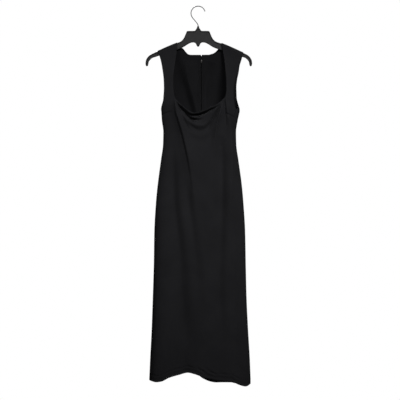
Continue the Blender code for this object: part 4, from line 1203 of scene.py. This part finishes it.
cuts = np.array(HANGER_CUTS)
run = (lengths(cuts[:, :2]) + lengths(cuts[:, 2:])) / 2
at = np.unique(np.concatenate([np.linspace(0, run[-1], round(run[-1] / CUT_STEP)), run]))
table = np.column_stack([run, cuts])
fine = np.column_stack([read(table, column, at) for column in (1, 2, 3, 4)])
shape = bmesh.new()
arms = [cross_cut(*row, LEFT) for row in fine[:0:-1]] + [cross_cut(*row, RIGHT) for row in fine]
skin(shape, [[shape.verts.new(point) for point in ring] for ring in arms])
for corner in shape.verts:
    fade = np.clip((PLATE_OFF_TO - abs(corner.co.x)) / (PLATE_OFF_TO - PLATE_OFF_FROM), 0, 1)
    corner.co.x += PLATE_OFF * fade
PLASTIC = hard_finish("moulded_black_plastic", (0.013, 0.013, 0.0135), (0.0195, 0.0195, 0.0203),
                      (0.40, 0.56), 0.0, patches=45.0, scratches=500.0, relief=0.00008)
still = Matrix.Identity(4)
plate_place = Matrix.Translation((PLATE_OFF, 0, 0))
hard_piece("hanger", shape, still, "dress", PLASTIC, "hanger_body")

WIRE = 0.0035
COLLAR_TOP_Z, COLLAR_BORE_DEPTH = -0.0795, 0.0050
COLLAR_PROFILE = (
    # radius, height over the hanger's top
    (0, SEAM), (0.004, SEAM), (0.0044, 0.0013), (0.0044, 0.0051), (0.0035, 0.0067),
    (0.0027, 0.0073),
)
bore = WIRE / 2 + SEAM
bore_foot = COLLAR_TOP_Z - COLLAR_BORE_DEPTH
profile = [(radius, HANGER_CUTS[0][1] + height) for radius, height in COLLAR_PROFILE]
profile += [(bore, COLLAR_TOP_Z), (bore, bore_foot), (0, bore_foot)]
shape = bmesh.new()
points = [shape.verts.new((radius, 0, z)) for radius, z in profile]
edges = [shape.edges.new(pair) for pair in zip(points, points[1:])]
bmesh.ops.spin(shape, geom=points + edges, axis=(0, 0, 1), steps=48, angle=2 * math.pi)
bmesh.ops.remove_doubles(shape, verts=shape.verts, dist=NEAR_ZERO)
bmesh.ops.recalc_face_normals(shape, faces=shape.faces)
hard_piece("collar", shape, plate_place, "dress", PLASTIC, "hanger_collar")

# The hook is one length of bright steel wire, with its end upset into a small ball.
HOOK_INSIDE, HOOK_TIP_ANGLE, HOOK_TURN_ANGLE, HOOK_BALL = 0.0270, 14, 207, 1.25
HOOK_BEND_LEAD, HOOK_BEND_X, HOOK_BEND_Z, HOOK_STEM_TOP_Z = 0.014, -0.0015, -0.066, -0.077
WIRE_SIDES, HOOK_ARC_STEPS, HOOK_BEND_STEPS = 20, 90, 32

radius = HOOK_INSIDE + WIRE / 2
turn = np.radians(np.linspace(HOOK_TIP_ANGLE, HOOK_TURN_ANGLE, HOOK_ARC_STEPS))
arc = np.array([0, -HOOK_INSIDE]) + radius * np.stack([np.cos(turn), np.sin(turn)], axis=1)
leaving = np.array([-math.sin(turn[-1]), math.cos(turn[-1])])
lead = arc[-1] + HOOK_BEND_LEAD * leaving
knots = np.array((arc[-1], lead, (HOOK_BEND_X, HOOK_BEND_Z), (0, HOOK_STEM_TOP_Z)))
t = np.linspace(0, 1, HOOK_BEND_STEPS)[1:, None]
bend = sum(math.comb(3, i) * t**i * (1 - t) ** (3 - i) * knot for i, knot in enumerate(knots))
stem = [(0, z) for z in np.linspace(HOOK_STEM_TOP_Z, bore_foot + SEAM, 5)[1:]]
route = np.concatenate([arc, bend, stem])
from_tip = lengths(route)
ball = WIRE / 2 * HOOK_BALL
radii = ball + (WIRE / 2 - ball) * np.clip((from_tip - ball) / ball, 0, 1)
domed = from_tip < ball
radii[domed] = np.sqrt(np.maximum(ball**2 - (ball - from_tip[domed]) ** 2, 1e-9))
ahead = unit(np.gradient(route, axis=0))
round_wire = np.linspace(0, 2 * math.pi, WIRE_SIDES, endpoint=False)
shape, rings = bmesh.new(), []
for (x, z), (ahead_x, ahead_z), thick in zip(route, ahead, radii):
    sideways, out = thick * np.cos(round_wire), thick * np.sin(round_wire)
    ring = np.column_stack([x - ahead_z * sideways, out, z + ahead_x * sideways])
    rings.append([shape.verts.new(point) for point in ring])
skin(shape, rings)
STEEL = hard_finish("drawn_steel", (0.17, 0.17, 0.175), (0.25, 0.25, 0.255), (0.34, 0.50), 1.0,
                    patches=120.0, scratches=1600.0, relief=0.00004)
hard_piece("hook", shape, plate_place, "dress", STEEL, "hanger_hook")

# ==== Room, light and camera ===============================================================
# A pale floor under the dress, a soft lamp above and to the right, a weaker one on the left
# and one for the back. The long lens looks straight at the front.

CAMERA_AWAY = 14.0
VIEW_WIDTH = 1.6224
VIEW_MIDDLE = (0.0048, -0.7844)
FLOOR_Z, FLOOR_RADIUS = -1.80, 1.4

floor_mesh = bpy.data.meshes.new("floor")
shape = bmesh.new()
bmesh.ops.create_circle(shape, cap_ends=True, segments=96, radius=FLOOR_RADIUS)
bmesh.ops.translate(shape, vec=(0, 0, FLOOR_Z), verts=shape.verts)
shape.to_mesh(floor_mesh)
shape.free()
floor_paint = bpy.data.materials.new("floor_paint")
floor_paint.use_nodes = True
painted = floor_paint.node_tree.nodes["Principled BSDF"].inputs
painted["Base Color"].default_value = (0.55, 0.55, 0.55, 1)
painted["Roughness"].default_value = 0.8
floor_mesh.materials.append(floor_paint)
floor = new_object("floor", floor_mesh)


def lamp(name, at, toward, size, power, spread):
    light = bpy.data.lights.new(name, "AREA")
    light.shape = "RECTANGLE"
    light.size, light.size_y = size
    light.spread = math.radians(spread)
    light.energy = power
    made = new_object(name, light)
    made.location = at
    made.rotation_euler = (Vector(toward) - Vector(at)).to_track_quat("-Z", "Y").to_euler()


lamp("key", (1.6, -3.25, 1.42), (0.0, 0.0, -0.79), (1.7, 1.3), 7.8, spread=32)
lamp("fill", (-1.7, -2.5, 0.8), (0.06, 0.0, -0.38), (1.0, 1.0), 1.3, spread=36)
lamp("behind", (-0.9, 2.8, 1.1), (0.0, 0.0, -0.6), (1.4, 1.2), 16, spread=60)

# The room is dim, but the wall behind the dress is white to the eye.
world = bpy.data.worlds.new("studio")
bpy.context.scene.world = world
world.use_nodes = True
tree = world.node_tree
ambient = tree.nodes["Background"]
ambient.inputs["Color"].default_value = (0.98, 0.99, 1.0, 1)
ambient.inputs["Strength"].default_value = 0.019
seen = node(tree, "Background", Color=(1, 1, 1, 1), Strength=1.0)
rays = node(tree, "LightPath")
choose = node(tree, "MixShader", Fac=rays.outputs["Is Camera Ray"])
tree.links.new(ambient.outputs["Background"], choose.inputs[1])
tree.links.new(seen.outputs["Background"], choose.inputs[2])
tree.links.new(choose.outputs["Shader"], tree.nodes["World Output"].inputs["Surface"])

bpy.context.scene.view_settings.view_transform = "Standard"

lens = bpy.data.cameras.new("camera")
lens.sensor_width = 36
lens.lens = lens.sensor_width * CAMERA_AWAY / VIEW_WIDTH
camera = new_object("camera", lens)
camera.location = (VIEW_MIDDLE[0], -CAMERA_AWAY, VIEW_MIDDLE[1])
camera.rotation_euler = (math.pi / 2, 0, 0)
bpy.context.scene.camera = camera
